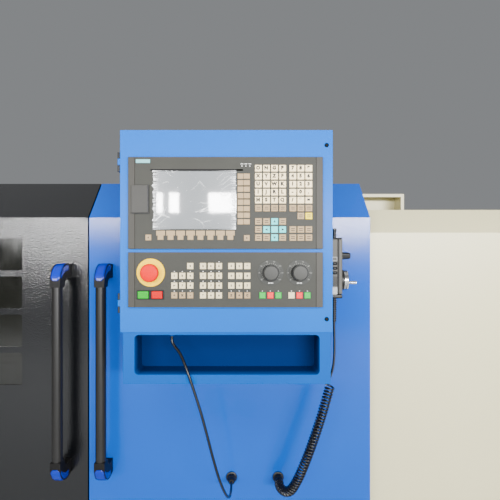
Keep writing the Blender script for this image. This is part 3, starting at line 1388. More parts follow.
def handle_end(name, x, upright):
    """A quarter-round bracket from the door to the tube, the same at both ends but turned over."""
    seat = DOOR_FACE_Y - SEAT_GAP
    axis_y = DOOR_FACE_Y - HANDLE_STANDOFF
    front = axis_y - HANDLE_END_DEPTH / 2
    back = axis_y + HANDLE_END_DEPTH / 2
    reach = HANDLE_FOOT_HEIGHT + (HANDLE_COLLAR_DROP - HANDLE_FOOT_HEIGHT) / 2
    outline = [(seat, 0), (seat, -HANDLE_FOOT_HEIGHT)]
    outline += [
        (back + HANDLE_END_ROUNDING, -HANDLE_FOOT_HEIGHT),
        (back, -HANDLE_FOOT_HEIGHT - HANDLE_END_ROUNDING), (back, -HANDLE_COLLAR_DROP),
        (front, -HANDLE_COLLAR_DROP),
    ]
    for step in range(HANDLE_ARC_STEPS + 1):
        angle = math.pi / 2 * step / HANDLE_ARC_STEPS
        y = front + (1 - math.cos(angle)) * reach
        outline.append((y, -reach + math.sin(angle) * reach))
    length = HANDLE_LENGTH
    middle = HANDLE_TOP_Z - length / 2
    points = [(y, HANDLE_TOP_Z + z) if upright else (y, 2 * middle - HANDLE_TOP_Z - z) for y, z in outline]
    bracket = prism([points], around(x, HANDLE_END_WIDTH), "X")
    round_edges(bracket, HANDLE_END_ROUNDING, 2, 50)
    socket_z = HANDLE_TOP_Z - HANDLE_COLLAR_DROP if upright else HANDLE_TOP_Z - length + HANDLE_COLLAR_DROP
    inward = 1 if upright else -1
    socket = rod(
        (x, axis_y, socket_z - inward * CUT_OVERRUN), (x, axis_y, socket_z + inward * HANDLE_END_ROUNDING),
        HANDLE_TUBE_RADIUS + RUNNING_GAP,
    )
    return finish(cut(bracket, socket), name, "black_plastic")


def handle_bar(name, x):
    axis_y = DOOR_FACE_Y - HANDLE_STANDOFF
    sunk = HANDLE_COLLAR_DROP - HANDLE_END_ROUNDING + SEAT_GAP
    bar = rod(
        (x, axis_y, HANDLE_TOP_Z - HANDLE_LENGTH + sunk), (x, axis_y, HANDLE_TOP_Z - sunk),
        HANDLE_TUBE_RADIUS,
    )
    return finish(bar, name, "black_plastic")


def door_handle(side, x):
    return [
        handle_bar(side + "_handle_bar", x),
        handle_end(side + "_handle_top_end", x, True),
        handle_end(side + "_handle_bottom_end", x, False),
    ]


# Console box, tool pocket, hinges and hinged plate

def console_box():
    """The box on the blue door, open to the front inside a narrow flange."""
    sheet = CONSOLE_SHEET
    shell = box((BOX_LEFT_X, BOX_RIGHT_X), (BOX_FRONT_Y, BOX_BACK_Y), (BOX_BOTTOM_Z, BOX_TOP_Z))
    hollow = box(
        (BOX_LEFT_X + sheet, BOX_RIGHT_X - sheet), (BOX_FRONT_Y + sheet, BOX_BACK_Y - sheet),
        (BOX_BOTTOM_Z + sheet, BOX_TOP_Z - sheet),
    )
    opening = box(
        (BOX_LEFT_X + CONSOLE_FLANGE, BOX_RIGHT_X - CONSOLE_FLANGE),
        (BOX_FRONT_Y - CUT_OVERRUN, BOX_FRONT_Y + sheet + CUT_OVERRUN),
        (BOX_BOTTOM_Z + CONSOLE_FLANGE, BOX_TOP_Z - CONSOLE_FLANGE),
    )
    join(hollow, opening)
    return finish(cut(shell, hollow), "console_box", "blue_textured_paint")


def tool_pocket():
    """The shallow pocket under the console, with rounded corners and the cable's grommet."""
    sheet = CONSOLE_SHEET
    shell = box((POCKET_LEFT_X, POCKET_RIGHT_X), (BOX_FRONT_Y, BOX_BACK_Y), (POCKET_BOTTOM_Z, POCKET_TOP_Z))
    opening_x = (POCKET_LEFT_X + POCKET_OPENING_LEFT, POCKET_RIGHT_X - POCKET_OPENING_RIGHT)
    opening_z = (POCKET_BOTTOM_Z + POCKET_OPENING_BASE, POCKET_CEILING_Z)
    pocket = prism(
        [rounded_rectangle(opening_x, opening_z, POCKET_CORNER)],
        (BOX_FRONT_Y - CUT_OVERRUN, BOX_FRONT_Y + POCKET_DEPTH), "Y",
    )
    rear = box(
        (POCKET_LEFT_X + sheet, POCKET_RIGHT_X - sheet),
        (BOX_FRONT_Y + POCKET_DEPTH + sheet, BOX_BACK_Y + CUT_OVERRUN),
        (POCKET_BOTTOM_Z + sheet, POCKET_TOP_Z - sheet),
    )
    grommet = rod(
        (GROMMET_X, GROMMET_Y, POCKET_CEILING_Z - GROMMET_HEIGHT),
        (GROMMET_X, GROMMET_Y, POCKET_CEILING_Z + GROMMET_SINK), GROMMET_RADIUS, SMALL_SIDES,
    )
    rebate = box(
        (POCKET_LEFT_X - CUT_OVERRUN, POCKET_RIGHT_X + CUT_OVERRUN),
        (BOX_FRONT_Y - CUT_OVERRUN, CONSOLE_FACE_Y + CONSOLE_RETURN + RUNNING_GAP),
        (CONSOLE_BOTTOM_Z - RUNNING_GAP, POCKET_TOP_Z + CUT_OVERRUN),
    )
    cut(shell, pocket, rear, rebate)
    join(shell, grommet)
    return finish(shell, "tool_pocket", "blue_textured_paint")


def hinge_thirds(middle_z):
    low = middle_z - HINGE_HEIGHT / 2
    third = HINGE_HEIGHT / 3
    return low, low + third, low + 2 * third, low + HINGE_HEIGHT


def hinge(name, middle_z):
    """The fixed half of a hinge: two knuckles and the pin on a leaf against the box's side."""
    low, first, second, high = hinge_thirds(middle_z)
    pin = rod((HINGE_X, HINGE_Y, low + JOINT_LAP), (HINGE_X, HINGE_Y, high - JOINT_LAP), HINGE_PIN_RADIUS,
              SMALL_SIDES)
    leaf_y = HINGE_Y + HINGE_LEAF_SETBACK
    leaf = box(
        (BOX_LEFT_X - SEAT_GAP - HINGE_LEAF_SIZE, BOX_LEFT_X - SEAT_GAP),
        (leaf_y, leaf_y + HINGE_LEAF_DEPTH), (low, high),
    )
    for bottom, top in ((low, first), (second, high)):
        knuckle = rod((HINGE_X, HINGE_Y, bottom), (HINGE_X, HINGE_Y, top), HINGE_BARREL_RADIUS, SMALL_SIDES)
        arm = box(
            (HINGE_X - HINGE_PIN_RADIUS, BOX_LEFT_X - SEAT_GAP - HINGE_LEAF_SIZE / 2),
            (HINGE_Y + HINGE_PIN_RADIUS * 2, leaf_y + HINGE_LEAF_SETBACK), (bottom, top),
        )
        neck = box(
            around(HINGE_X, HINGE_PIN_RADIUS * 2), (HINGE_Y, HINGE_Y + HINGE_LEAF_SETBACK), (bottom, top)
        )
        join(leaf, arm, neck, knuckle)
    join(leaf, pin)
    return finish(leaf, name, "black_plastic")


def console_door():
    """The hinged front plate, with short returns, the units' cut-outs, lock holes and hinge knuckles."""
    shape = bmesh.new()
    x_span = (CONSOLE_LEFT_X, CONSOLE_RIGHT_X)
    z_span = (CONSOLE_BOTTOM_Z, CONSOLE_TOP_Z)
    corners = [
        (x_span[0], z_span[0]), (x_span[1], z_span[0]), (x_span[1], z_span[1]), (x_span[0], z_span[1]),
    ]
    front = [shape.verts.new((x, CONSOLE_FACE_Y, z)) for x, z in corners]
    back = [shape.verts.new((x, CONSOLE_FACE_Y + CONSOLE_RETURN, z)) for x, z in corners]
    shape.faces.new(front)
    for i in range(len(corners)):
        j = (i + 1) % len(corners)
        shape.faces.new((front[j], front[i], back[i], back[j]))
    plate = solid_sheet(shape, CONSOLE_SHEET)
    through_y = (CONSOLE_FACE_Y - CUT_OVERRUN, CONSOLE_PLATE_BACK_Y + CUT_OVERRUN)
    flange = UNIT_FLANGE - UNIT_CUTOUT_GAP
    cutouts = [
        (
            (UNIT_LEFT_X + flange, UNIT_RIGHT_X - flange), through_y,
            (bottom + flange, bottom + height - flange),
        )
        for bottom, height in ((DISPLAY_BOTTOM_Z, DISPLAY_HEIGHT), (CONTROL_BOTTOM_Z, CONTROL_HEIGHT))
    ]
    cut(plate, boxes(cutouts))
    for z in (UPPER_LOCK_Z, LOWER_LOCK_Z):
        cut(plate, rod((LOCK_X, through_y[0], z), (LOCK_X, through_y[1], z),
                       LOCK_SHAFT_RADIUS + RUNNING_GAP, SMALL_SIDES))
    for z in (UPPER_HINGE_Z, LOWER_HINGE_Z):
        _, first, second, _ = hinge_thirds(z)
        span = (first + HINGE_KNUCKLE_GAP, second - HINGE_KNUCKLE_GAP)
        knuckle = rod((HINGE_X, HINGE_Y, span[0]), (HINGE_X, HINGE_Y, span[1]), HINGE_BARREL_RADIUS,
                      SMALL_SIDES)
        link = box(
            (HINGE_X, CONSOLE_LEFT_X + CONSOLE_SHEET / 2),
            (HINGE_Y - HINGE_BARREL_RADIUS * HINGE_LINK_SHARE, HINGE_Y), span,
        )
        hole = rod(
            (HINGE_X, HINGE_Y, span[0] - CUT_OVERRUN), (HINGE_X, HINGE_Y, span[1] + CUT_OVERRUN),
            HINGE_PIN_RADIUS + RUNNING_GAP, SMALL_SIDES,
        )
        join(plate, link, knuckle)
        cut(plate, hole)
    return finish(plate, "console_door", "blue_textured_paint")


def quarter_lock(name, z):
    """A slotted quarter-turn lock; its tongue hangs free and reaches behind the flange when turned."""
    head_back = CONSOLE_FACE_Y - SEAT_GAP
    tongue_front = BOX_FRONT_Y + CONSOLE_SHEET + RUNNING_GAP
    tongue_back = tongue_front + LOCK_TONGUE_THICKNESS
    head = rod((LOCK_X, head_back - LOCK_HEAD_HEIGHT, z), (LOCK_X, head_back, z), LOCK_HEAD_RADIUS)
    shaft = rod((LOCK_X, head_back - JOINT_LAP, z), (LOCK_X, tongue_back, z), LOCK_SHAFT_RADIUS, SMALL_SIDES)
    tongue = box(
        around(LOCK_X, LOCK_TONGUE_WIDTH), (tongue_front, tongue_back - JOINT_LAP),
        (z - LOCK_TONGUE_LENGTH, z),
    )
    slot = box(
        around(LOCK_X, LOCK_SLOT_WIDTH),
        (head_back - LOCK_HEAD_HEIGHT - CUT_OVERRUN, head_back - LOCK_HEAD_HEIGHT + LOCK_SLOT_DEPTH),
        around(z, 2 * LOCK_HEAD_RADIUS * LOCK_SLOT_SHARE),
    )
    join(head, shaft, tongue)
    return finish(cut(head, slot), name, "black_plastic")


# Display unit

def unit_housing(bottom, height, chassis_depth):
    """A panel with small corners, a chassis behind it and a groove beside each end band."""
    x_span = (UNIT_LEFT_X, UNIT_RIGHT_X)
    z_span = (bottom, bottom + height)
    bezel = prism([rounded_rectangle(x_span, z_span, UNIT_CORNER)], (UNIT_FACE_Y, UNIT_BACK_Y), "Y")
    chassis = box(
        (x_span[0] + UNIT_FLANGE, x_span[1] - UNIT_FLANGE),
        (UNIT_BACK_Y - JOINT_LAP, UNIT_BACK_Y + chassis_depth),
        (z_span[0] + UNIT_FLANGE, z_span[1] - UNIT_FLANGE),
    )
    grooves = [
        (
            around(x, UNIT_GROOVE_WIDTH), (UNIT_FACE_Y - CUT_OVERRUN, UNIT_FACE_Y + UNIT_GROOVE_DEPTH),
            (z_span[0] - CUT_OVERRUN, z_span[1] + CUT_OVERRUN),
        )
        for x in (x_span[0] + UNIT_GROOVE_INSET, x_span[1] - UNIT_GROOVE_INSET)
    ]
    join(bezel, chassis)
    return cut(bezel, boxes(grooves))


def mat_outline(corners, left, bottom, margin):
    """The corner list placed on its unit and drawn in by a margin, for a mat that lies in its recess."""
    placed = [(left + x, bottom + z) for x, z in corners]
    closed = placed + placed[:2]
    inset = offset_path(closed, -margin)
    return [tuple(p) for p in inset[1:-1]]


def display_mat_corners():
    return [
        (DISPLAY_MAT_INSET_LEFT, DISPLAY_MAT_BASE), (DISPLAY_MAT_RIGHT, DISPLAY_MAT_BASE),
        (DISPLAY_MAT_RIGHT, DISPLAY_MAT_TOP), (DISPLAY_MAT_TURN_X, DISPLAY_MAT_TOP),
        (DISPLAY_MAT_TURN_X, DISPLAY_MAT_STRIP_TOP), (DISPLAY_MAT_INSET_LEFT, DISPLAY_MAT_STRIP_TOP),
    ]


def panel_mat_corners():
    return [
        (PANEL_MAT_LEFT, PANEL_MAT_BASE), (PANEL_MAT_RIGHT, PANEL_MAT_BASE),
        (PANEL_MAT_RIGHT, PANEL_MAT_STEP_Z), (PANEL_MAT_STEP_X, PANEL_MAT_STEP_Z),
        (PANEL_MAT_STEP_X, PANEL_MAT_TOP), (PANEL_MAT_LEFT, PANEL_MAT_TOP),
    ]


def screen_spans():
    left = UNIT_LEFT_X + SCREEN_RECESS_LEFT
    bottom = DISPLAY_BOTTOM_Z + SCREEN_RECESS_BASE
    return (left, left + SCREEN_RECESS_WIDTH), (bottom, bottom + SCREEN_RECESS_HEIGHT)


def display_unit():
    body = unit_housing(DISPLAY_BOTTOM_Z, DISPLAY_HEIGHT, DISPLAY_CHASSIS_DEPTH)
    x_span, z_span = screen_spans()
    recess = box(x_span, (UNIT_FACE_Y - CUT_OVERRUN, UNIT_FACE_Y + SCREEN_RECESS_DEPTH), z_span)
    slot_x = UNIT_LEFT_X + FLAP_LEFT + FLAP_WIDTH / 2
    slot_z = DISPLAY_BOTTOM_Z + FLAP_BASE + FLAP_HEIGHT / 2
    slot = box(
        around(slot_x, CARD_SLOT_WIDTH), (UNIT_FACE_Y - CUT_OVERRUN, UNIT_FACE_Y + CARD_SLOT_DEPTH),
        around(slot_z, CARD_SLOT_HEIGHT),
    )
    mat = prism(
        [mat_outline(display_mat_corners(), UNIT_LEFT_X, DISPLAY_BOTTOM_Z, 0)],
        (UNIT_FACE_Y - CUT_OVERRUN, UNIT_FACE_Y + MAT_RECESS_DEPTH), "Y",
    )
    return finish(cut(body, recess, slot, mat), "display_unit", "grey_plastic")


def display_screen():
    x_span, z_span = screen_spans()
    back = UNIT_FACE_Y + SCREEN_RECESS_DEPTH - SEAT_GAP
    margin = SCREEN_PANE_MARGIN
    pane = box(
        (x_span[0] + margin, x_span[1] - margin), (back - SCREEN_PANE_THICKNESS, back),
        (z_span[0] + margin, z_span[1] - margin),
    )
    return finish(pane, "display_screen", "clear_sheet")


def key_mat(corners, left, bottom, keys):
    """A mat in its recess with its raised keys."""
    back = UNIT_FACE_Y + MAT_RECESS_DEPTH - SEAT_GAP
    front = back - MAT_THICKNESS
    mat = prism([mat_outline(corners, left, bottom, MAT_MARGIN)], (front, back), "Y")
    spans = [
        (
            around(left + x, width), (UNIT_FACE_Y - KEY_HEIGHT, front + JOINT_LAP), around(bottom + z, tall)
        )
        for x, z, width, tall in keys
    ]
    return join(mat, boxes(spans))


def display_keys():
    """Middle and size of every key of the display unit."""
    keys = []
    for row in range(LETTER_ROWS):
        z = TOP_ROW_Z - KEY_ROW_PITCH * row
        keys += [
            (LETTER_COLUMN_X + KEY_COLUMN_PITCH * c, z, KEY_WIDTH, KEY_TALL) for c in range(LETTER_COLUMNS)
        ]
        keys += [
            (NUMBER_COLUMN_X + KEY_ROW_PITCH * c, z, KEY_WIDTH, KEY_TALL) for c in range(NUMBER_COLUMNS)
        ]
    for column in range(1, NUMBER_COLUMNS):
        keys.append((NUMBER_COLUMN_X + KEY_ROW_PITCH * column, EXTRA_ROW_Z, KEY_WIDTH, KEY_TALL))
    for row in range(CURSOR_ROWS):
        z = CURSOR_ROW_Z - KEY_COLUMN_PITCH * row
        keys += [
            (LETTER_COLUMN_X + KEY_COLUMN_PITCH * c, z, KEY_WIDTH, KEY_TALL) for c in range(LETTER_COLUMNS)
        ]
        if row > 0:
            keys += [
                (NUMBER_COLUMN_X + KEY_ROW_PITCH * c, z, KEY_WIDTH, KEY_TALL) for c in range(NUMBER_COLUMNS)
            ]
    for i in range(SOFTKEY_COUNT):
        keys.append(
            (SIDE_SOFTKEY_X, SIDE_SOFTKEY_TOP_Z - SIDE_SOFTKEY_PITCH * i,
             SIDE_SOFTKEY_WIDTH, SIDE_SOFTKEY_TALL)
        )
        keys.append(
            (BASE_SOFTKEY_X + BASE_SOFTKEY_PITCH * i, BASE_SOFTKEY_Z, BASE_SOFTKEY_WIDTH, BASE_SOFTKEY_TALL)
        )
    for x in (LEFT_PAGE_KEY_X, RIGHT_PAGE_KEY_X):
        keys.append((x, PAGE_KEY_Z, PAGE_KEY_SIZE, PAGE_KEY_SIZE))
    return keys


def display_keypad():
    mat = key_mat(display_mat_corners(), UNIT_LEFT_X, DISPLAY_BOTTOM_Z, display_keys())
    return finish(mat, "display_keypad", "ivory_key_plastic")


def card_flap():
    """The memory card's cover, with a finger grip along its free edge."""
    back = UNIT_FACE_Y - SEAT_GAP
    left = UNIT_LEFT_X + FLAP_LEFT
    bottom = DISPLAY_BOTTOM_Z + FLAP_BASE
    flap = box((left, left + FLAP_WIDTH), (back - FLAP_THICKNESS, back), (bottom, bottom + FLAP_HEIGHT))
    grip = box(
        (left + FLAP_WIDTH - FLAP_GRIP_WIDTH * 2, left + FLAP_WIDTH - FLAP_GRIP_WIDTH),
        (back - FLAP_THICKNESS - CUT_OVERRUN, back - FLAP_THICKNESS + FLAP_GRIP_DEPTH),
        (bottom + FLAP_GRIP_WIDTH * 2, bottom + FLAP_HEIGHT - FLAP_GRIP_WIDTH * 2),
    )
    return finish(cut(flap, grip), "card_flap", "grey_plastic")


# Machine control panel

def control_panel():
    body = unit_housing(CONTROL_BOTTOM_Z, CONTROL_HEIGHT, CONTROL_CHASSIS_DEPTH)
    mat = prism(
        [mat_outline(panel_mat_corners(), UNIT_LEFT_X, CONTROL_BOTTOM_Z, 0)],
        (UNIT_FACE_Y - CUT_OVERRUN, UNIT_FACE_Y + MAT_RECESS_DEPTH), "Y",
    )
    frames = [
        (
            around(UNIT_LEFT_X + x, FRAME_WIDTH), (UNIT_FACE_Y - FRAME_PROUD, UNIT_FACE_Y + JOINT_LAP),
            around(CONTROL_BOTTOM_Z + BUTTON_Z, FRAME_HEIGHT),
        )
        for x in (GREEN_BUTTON_X, RED_BUTTON_X)
    ]
    gap = 2 * RUNNING_GAP
    wells = [
        (
            around(UNIT_LEFT_X + x, BUTTON_WIDTH + gap),
            (UNIT_FACE_Y - FRAME_PROUD - CUT_OVERRUN, UNIT_FACE_Y + BUTTON_SINK + CUT_OVERRUN),
            around(CONTROL_BOTTOM_Z + BUTTON_Z, BUTTON_HEIGHT + gap),
        )
        for x in (GREEN_BUTTON_X, RED_BUTTON_X)
    ]
    join(body, boxes(frames))
    cut(body, mat, boxes(wells))
    for x, radius, sink in (
        (ESTOP_X, ESTOP_NECK_RADIUS, ESTOP_NECK_SINK + CUT_OVERRUN),
        (SPINDLE_KNOB_X, KNOB_SHAFT_RADIUS, KNOB_SHAFT_SINK + SEAT_GAP),
        (FEED_KNOB_X, KNOB_SHAFT_RADIUS, KNOB_SHAFT_SINK + SEAT_GAP),
    ):
        hole = rod(
            (UNIT_LEFT_X + x, UNIT_FACE_Y - CUT_OVERRUN, CONTROL_BOTTOM_Z + KNOB_Z),
            (UNIT_LEFT_X + x, UNIT_FACE_Y + sink + CUT_OVERRUN, CONTROL_BOTTOM_Z + KNOB_Z),
            radius + RUNNING_GAP, SMALL_SIDES,
        )
        cut(body, hole)
    return finish(body, "control_panel", "grey_plastic")


def control_keypad():
    keys = []
    for group, start in enumerate(PANEL_GROUPS_X):
        for row in range(PANEL_ROWS):
            z = PANEL_FIRST_ROW_Z + PANEL_ROW_PITCH * row
            columns = range(PANEL_COLUMNS)
            if group == 0 and row == PANEL_ROWS - 1:
                columns = [PANEL_COLUMNS - 1]
            keys += [(start + PANEL_KEY_PITCH * c, z, PANEL_KEY_SIZE, PANEL_KEY_SIZE) for c in columns]
    for start in KNOB_KEYS_X:
        keys += [
            (start + PANEL_KEY_PITCH * c, PANEL_FIRST_ROW_Z, PANEL_KEY_SIZE, PANEL_KEY_SIZE)
            for c in range(PANEL_COLUMNS)
        ]
    mat = key_mat(panel_mat_corners(), UNIT_LEFT_X, CONTROL_BOTTOM_Z, keys)
    return finish(mat, "control_keypad", "ivory_key_plastic")


def estop_collar():
    """The yellow ring on the panel, with a raised rim round the button's neck."""
    back = UNIT_FACE_Y - SEAT_GAP
    rim = ESTOP_NECK_RADIUS + RUNNING_GAP
    edge = COLLAR_THICKNESS / 2
    profile = [
        (rim, COLLAR_THICKNESS), (COLLAR_RADIUS - edge, COLLAR_THICKNESS), (COLLAR_RADIUS, edge),
        (COLLAR_RADIUS, 0), (rim, 0),
    ]
    place = (UNIT_LEFT_X + ESTOP_X, back, CONTROL_BOTTOM_Z + ESTOP_Z)
    ring = turned(profile, place, (0, -1, 0), ROUND_SIDES + SMALL_SIDES)
    return finish(ring, "estop_collar", "yellow_plastic")


def estop_button():
    """The red mushroom button on its neck."""
    height = ESTOP_FACE_DEPTH - UNIT_PROUD
    head = height - ESTOP_HEAD_THICKNESS
    dome = [
        (ESTOP_RADIUS * reach, height - ESTOP_DOME * drop)
        for reach, drop in zip(ESTOP_REACH_SHARES, ESTOP_DROP_SHARES)
    ]
    profile = [
        (0, height), *dome, (ESTOP_RADIUS, head + ESTOP_DOME), (ESTOP_RADIUS * ESTOP_FOOT_SHARE, head),
        (ESTOP_NECK_RADIUS, head), (ESTOP_NECK_RADIUS, -ESTOP_NECK_SINK), (0, -ESTOP_NECK_SINK),
    ]
    place = (UNIT_LEFT_X + ESTOP_X, UNIT_FACE_Y, CONTROL_BOTTOM_Z + ESTOP_Z)
    return finish(turned(profile, place, (0, -1, 0), ROUND_SIDES), "estop_button", "red_plastic")


def push_button(name, x, finish_name):
    cap = box(
        around(UNIT_LEFT_X + x, BUTTON_WIDTH), (UNIT_FACE_Y - BUTTON_PROUD, UNIT_FACE_Y + BUTTON_SINK),
        around(CONTROL_BOTTOM_Z + BUTTON_Z, BUTTON_HEIGHT),
    )
    return finish(round_edges(cap, BUTTON_ROUNDING, 1), name, finish_name)


def override_knob(name, x):
    """A fluted knob with a plain cap disc, on a short shaft."""
    middle = (UNIT_LEFT_X + x, CONTROL_BOTTOM_Z + KNOB_Z)
    back = UNIT_FACE_Y - SEAT_GAP
    front = back - KNOB_DEPTH
    grip = prism([fluted_circle(middle, KNOB_RADIUS, KNOB_FLUTE_DEPTH, KNOB_FLUTES)], (front, back), "Y")
    cap = rod(
        (middle[0], front + JOINT_LAP, middle[1]), (middle[0], front - KNOB_CAP_HEIGHT, middle[1]),
        KNOB_CAP_RADIUS,
    )
    shaft = rod(
        (middle[0], back - JOINT_LAP, middle[1]), (middle[0], back + KNOB_SHAFT_SINK, middle[1]),
        KNOB_SHAFT_RADIUS, SMALL_SIDES,
    )
    return finish(join(grip, cap, shaft), name, "grey_plastic")


# Hand pendant and cords

def pendant_holder():
    """A plate on the console's side with the block that the pendant hangs against."""
    left = BOX_RIGHT_X + SEAT_GAP
    plate = box(
        (left, left + HOLDER_PLATE), around(PENDANT_Y, HOLDER_WIDTH),
        (HOLDER_BASE_Z, HOLDER_BASE_Z + HOLDER_HEIGHT),
    )
    block = box(
        (left + HOLDER_PLATE - JOINT_LAP, PENDANT_LEFT_X - SEAT_GAP), around(PENDANT_Y, HOLDER_BLOCK_WIDTH),
        (HOLDER_BASE_Z + HOLDER_BLOCK_MARGIN, HOLDER_BASE_Z + HOLDER_HEIGHT - HOLDER_BLOCK_MARGIN),
    )
    return finish(join(plate, block), "pendant_holder", "black_plastic")


def pendant_body():
    """The hand pendant: a rounded housing with grip ribs, a hanging post and two shaft holes."""
    right = PENDANT_LEFT_X + PENDANT_WIDTH
    y_span = around(PENDANT_Y, PENDANT_DEPTH)
    top = PENDANT_BOTTOM_Z + PENDANT_HEIGHT
    housing = round_edges(box((PENDANT_LEFT_X, right), y_span, (PENDANT_BOTTOM_Z, top)), PENDANT_ROUNDING)
    ribs = []
    for i in range(PENDANT_RIB_COUNT):
        z = PENDANT_BOTTOM_Z + PENDANT_RIB_BASE + PENDANT_RIB_PITCH * i
        for y in ((y_span[0] - CUT_OVERRUN, y_span[0] + PENDANT_RIB_DEPTH),
                  (y_span[1] - PENDANT_RIB_DEPTH, y_span[1] + CUT_OVERRUN)):
            ribs.append(((PENDANT_LEFT_X - CUT_OVERRUN, PENDANT_LEFT_X + PENDANT_RIB_SPAN), y,
                         (z, z + PENDANT_RIB_WIDTH)))
    cut(housing, boxes(ribs))
    post_x = PENDANT_LEFT_X + PENDANT_POST_X
    join(housing, rod((post_x, PENDANT_Y, top - JOINT_LAP), (post_x, PENDANT_Y, top + PENDANT_POST_HEIGHT),
                      PENDANT_POST_RADIUS, SMALL_SIDES))
    for z in (SELECTOR_Z, WHEEL_Z):
        cut(housing, rod((right + CUT_OVERRUN, PENDANT_Y, z),
                         (right - PENDANT_SHAFT_SINK - SEAT_GAP, PENDANT_Y, z),
                         PENDANT_SHAFT_RADIUS + RUNNING_GAP, SMALL_SIDES))
    return finish(housing, "pendant_body", "grey_plastic")


def pendant_shaft(z):
    start = PENDANT_LEFT_X + PENDANT_WIDTH
    return rod(
        (start - PENDANT_SHAFT_SINK, PENDANT_Y, z), (start + SEAT_GAP + JOINT_LAP, PENDANT_Y, z),
        PENDANT_SHAFT_RADIUS, SMALL_SIDES,
    )


def pendant_axis_knob():
    start = PENDANT_LEFT_X + PENDANT_WIDTH + SEAT_GAP
    outline = fluted_circle((PENDANT_Y, SELECTOR_Z), SELECTOR_RADIUS, SELECTOR_FLUTE_DEPTH, SELECTOR_FLUTES)
    knob = prism([outline], (start, start + SELECTOR_LENGTH), "X")
    return finish(join(knob, pendant_shaft(SELECTOR_Z)), "pendant_axis_knob", "black_plastic")


def pendant_wheel():
    """The dished handwheel with its rim and the small crank handle."""
    start = PENDANT_LEFT_X + PENDANT_WIDTH + SEAT_GAP
    rim = WHEEL_RADIUS - WHEEL_RIM_WIDTH
    face = WHEEL_WIDTH * WHEEL_FACE_SHARE
    dish = face * WHEEL_DISH_SHARE
    chamfered = WHEEL_RADIUS - WHEEL_CHAMFER
    profile = [
        (0, WHEEL_WIDTH), (WHEEL_HUB_RADIUS, WHEEL_WIDTH), (WHEEL_HUB_RADIUS, dish), (rim, dish),
        (rim, face),
        (chamfered, face), (WHEEL_RADIUS, face - WHEEL_CHAMFER), (WHEEL_RADIUS, WHEEL_CHAMFER),
        (chamfered, 0), (0, 0),
    ]
    wheel = turned(profile, (start, PENDANT_Y, WHEEL_Z), (1, 0, 0))
    crank_y = PENDANT_Y + CRANK_OFFSET_Y
    crank_z = WHEEL_Z + CRANK_OFFSET_Z
    crank = rod((start + dish / 2, crank_y, crank_z), (start + WHEEL_WIDTH + CRANK_LENGTH, crank_y, crank_z),
                CRANK_RADIUS, SMALL_SIDES)
    return finish(join(wheel, pendant_shaft(WHEEL_Z), crank), "pendant_wheel", "bright_steel")


def strain_relief():
    """The ribbed, tapered sleeve where the lead leaves the pendant."""
    length = RELIEF_LENGTH
    profile = [(0, length)]
    pitch = length / RELIEF_RIBS
    for i in range(RELIEF_RIBS):
        share = i / (RELIEF_RIBS - 1)
        radius = RELIEF_TOP_RADIUS * (1 - share) + RELIEF_BOTTOM_RADIUS * share
        top = length - pitch * i
        profile += [
            (radius, top), (radius, top - pitch * RELIEF_RIB_SHARE),
            (radius - RELIEF_RIB, top - pitch * RELIEF_RIB_SHARE),
            (radius - RELIEF_RIB, top - pitch),
        ]
    profile[-1] = (RELIEF_BOTTOM_RADIUS - RELIEF_RIB, 0)
    profile.append((0, 0))
    base = (RELIEF_X, PENDANT_Y, PENDANT_BOTTOM_Z - SEAT_GAP - length)
    return finish(turned(profile, base, (0, 0, 1), SMALL_SIDES), "pendant_strain_relief", "black_rubber")


def cord(name, route, count, radius, resolution):
    return finish(tube(smooth_route(route, count), radius, resolution), name, "black_rubber")


def gland(name, x):
    """A cable gland on the blue door: flange, hexagonal nut and nose."""
    seat = DOOR_FACE_Y - SEAT_GAP
    nose = DOOR_FACE_Y - GLAND_REACH
    flange_front = seat - GLAND_FLANGE_HEIGHT
    nut_front = flange_front - GLAND_NUT_HEIGHT
    flange = rod((x, seat, GLAND_Z), (x, flange_front, GLAND_Z), GLAND_FLANGE_RADIUS)
    nut = rod((x, flange_front + JOINT_LAP, GLAND_Z), (x, nut_front, GLAND_Z), GLAND_BODY_RADIUS,
              GLAND_NUT_SIDES)
    tip = rod((x, nut_front + JOINT_LAP, GLAND_Z), (x, nose, GLAND_Z), GLAND_NOSE_BASE_RADIUS, SMALL_SIDES,
              GLAND_NOSE_RADIUS)
    return finish(join(flange, nut, tip), name, "black_plastic")


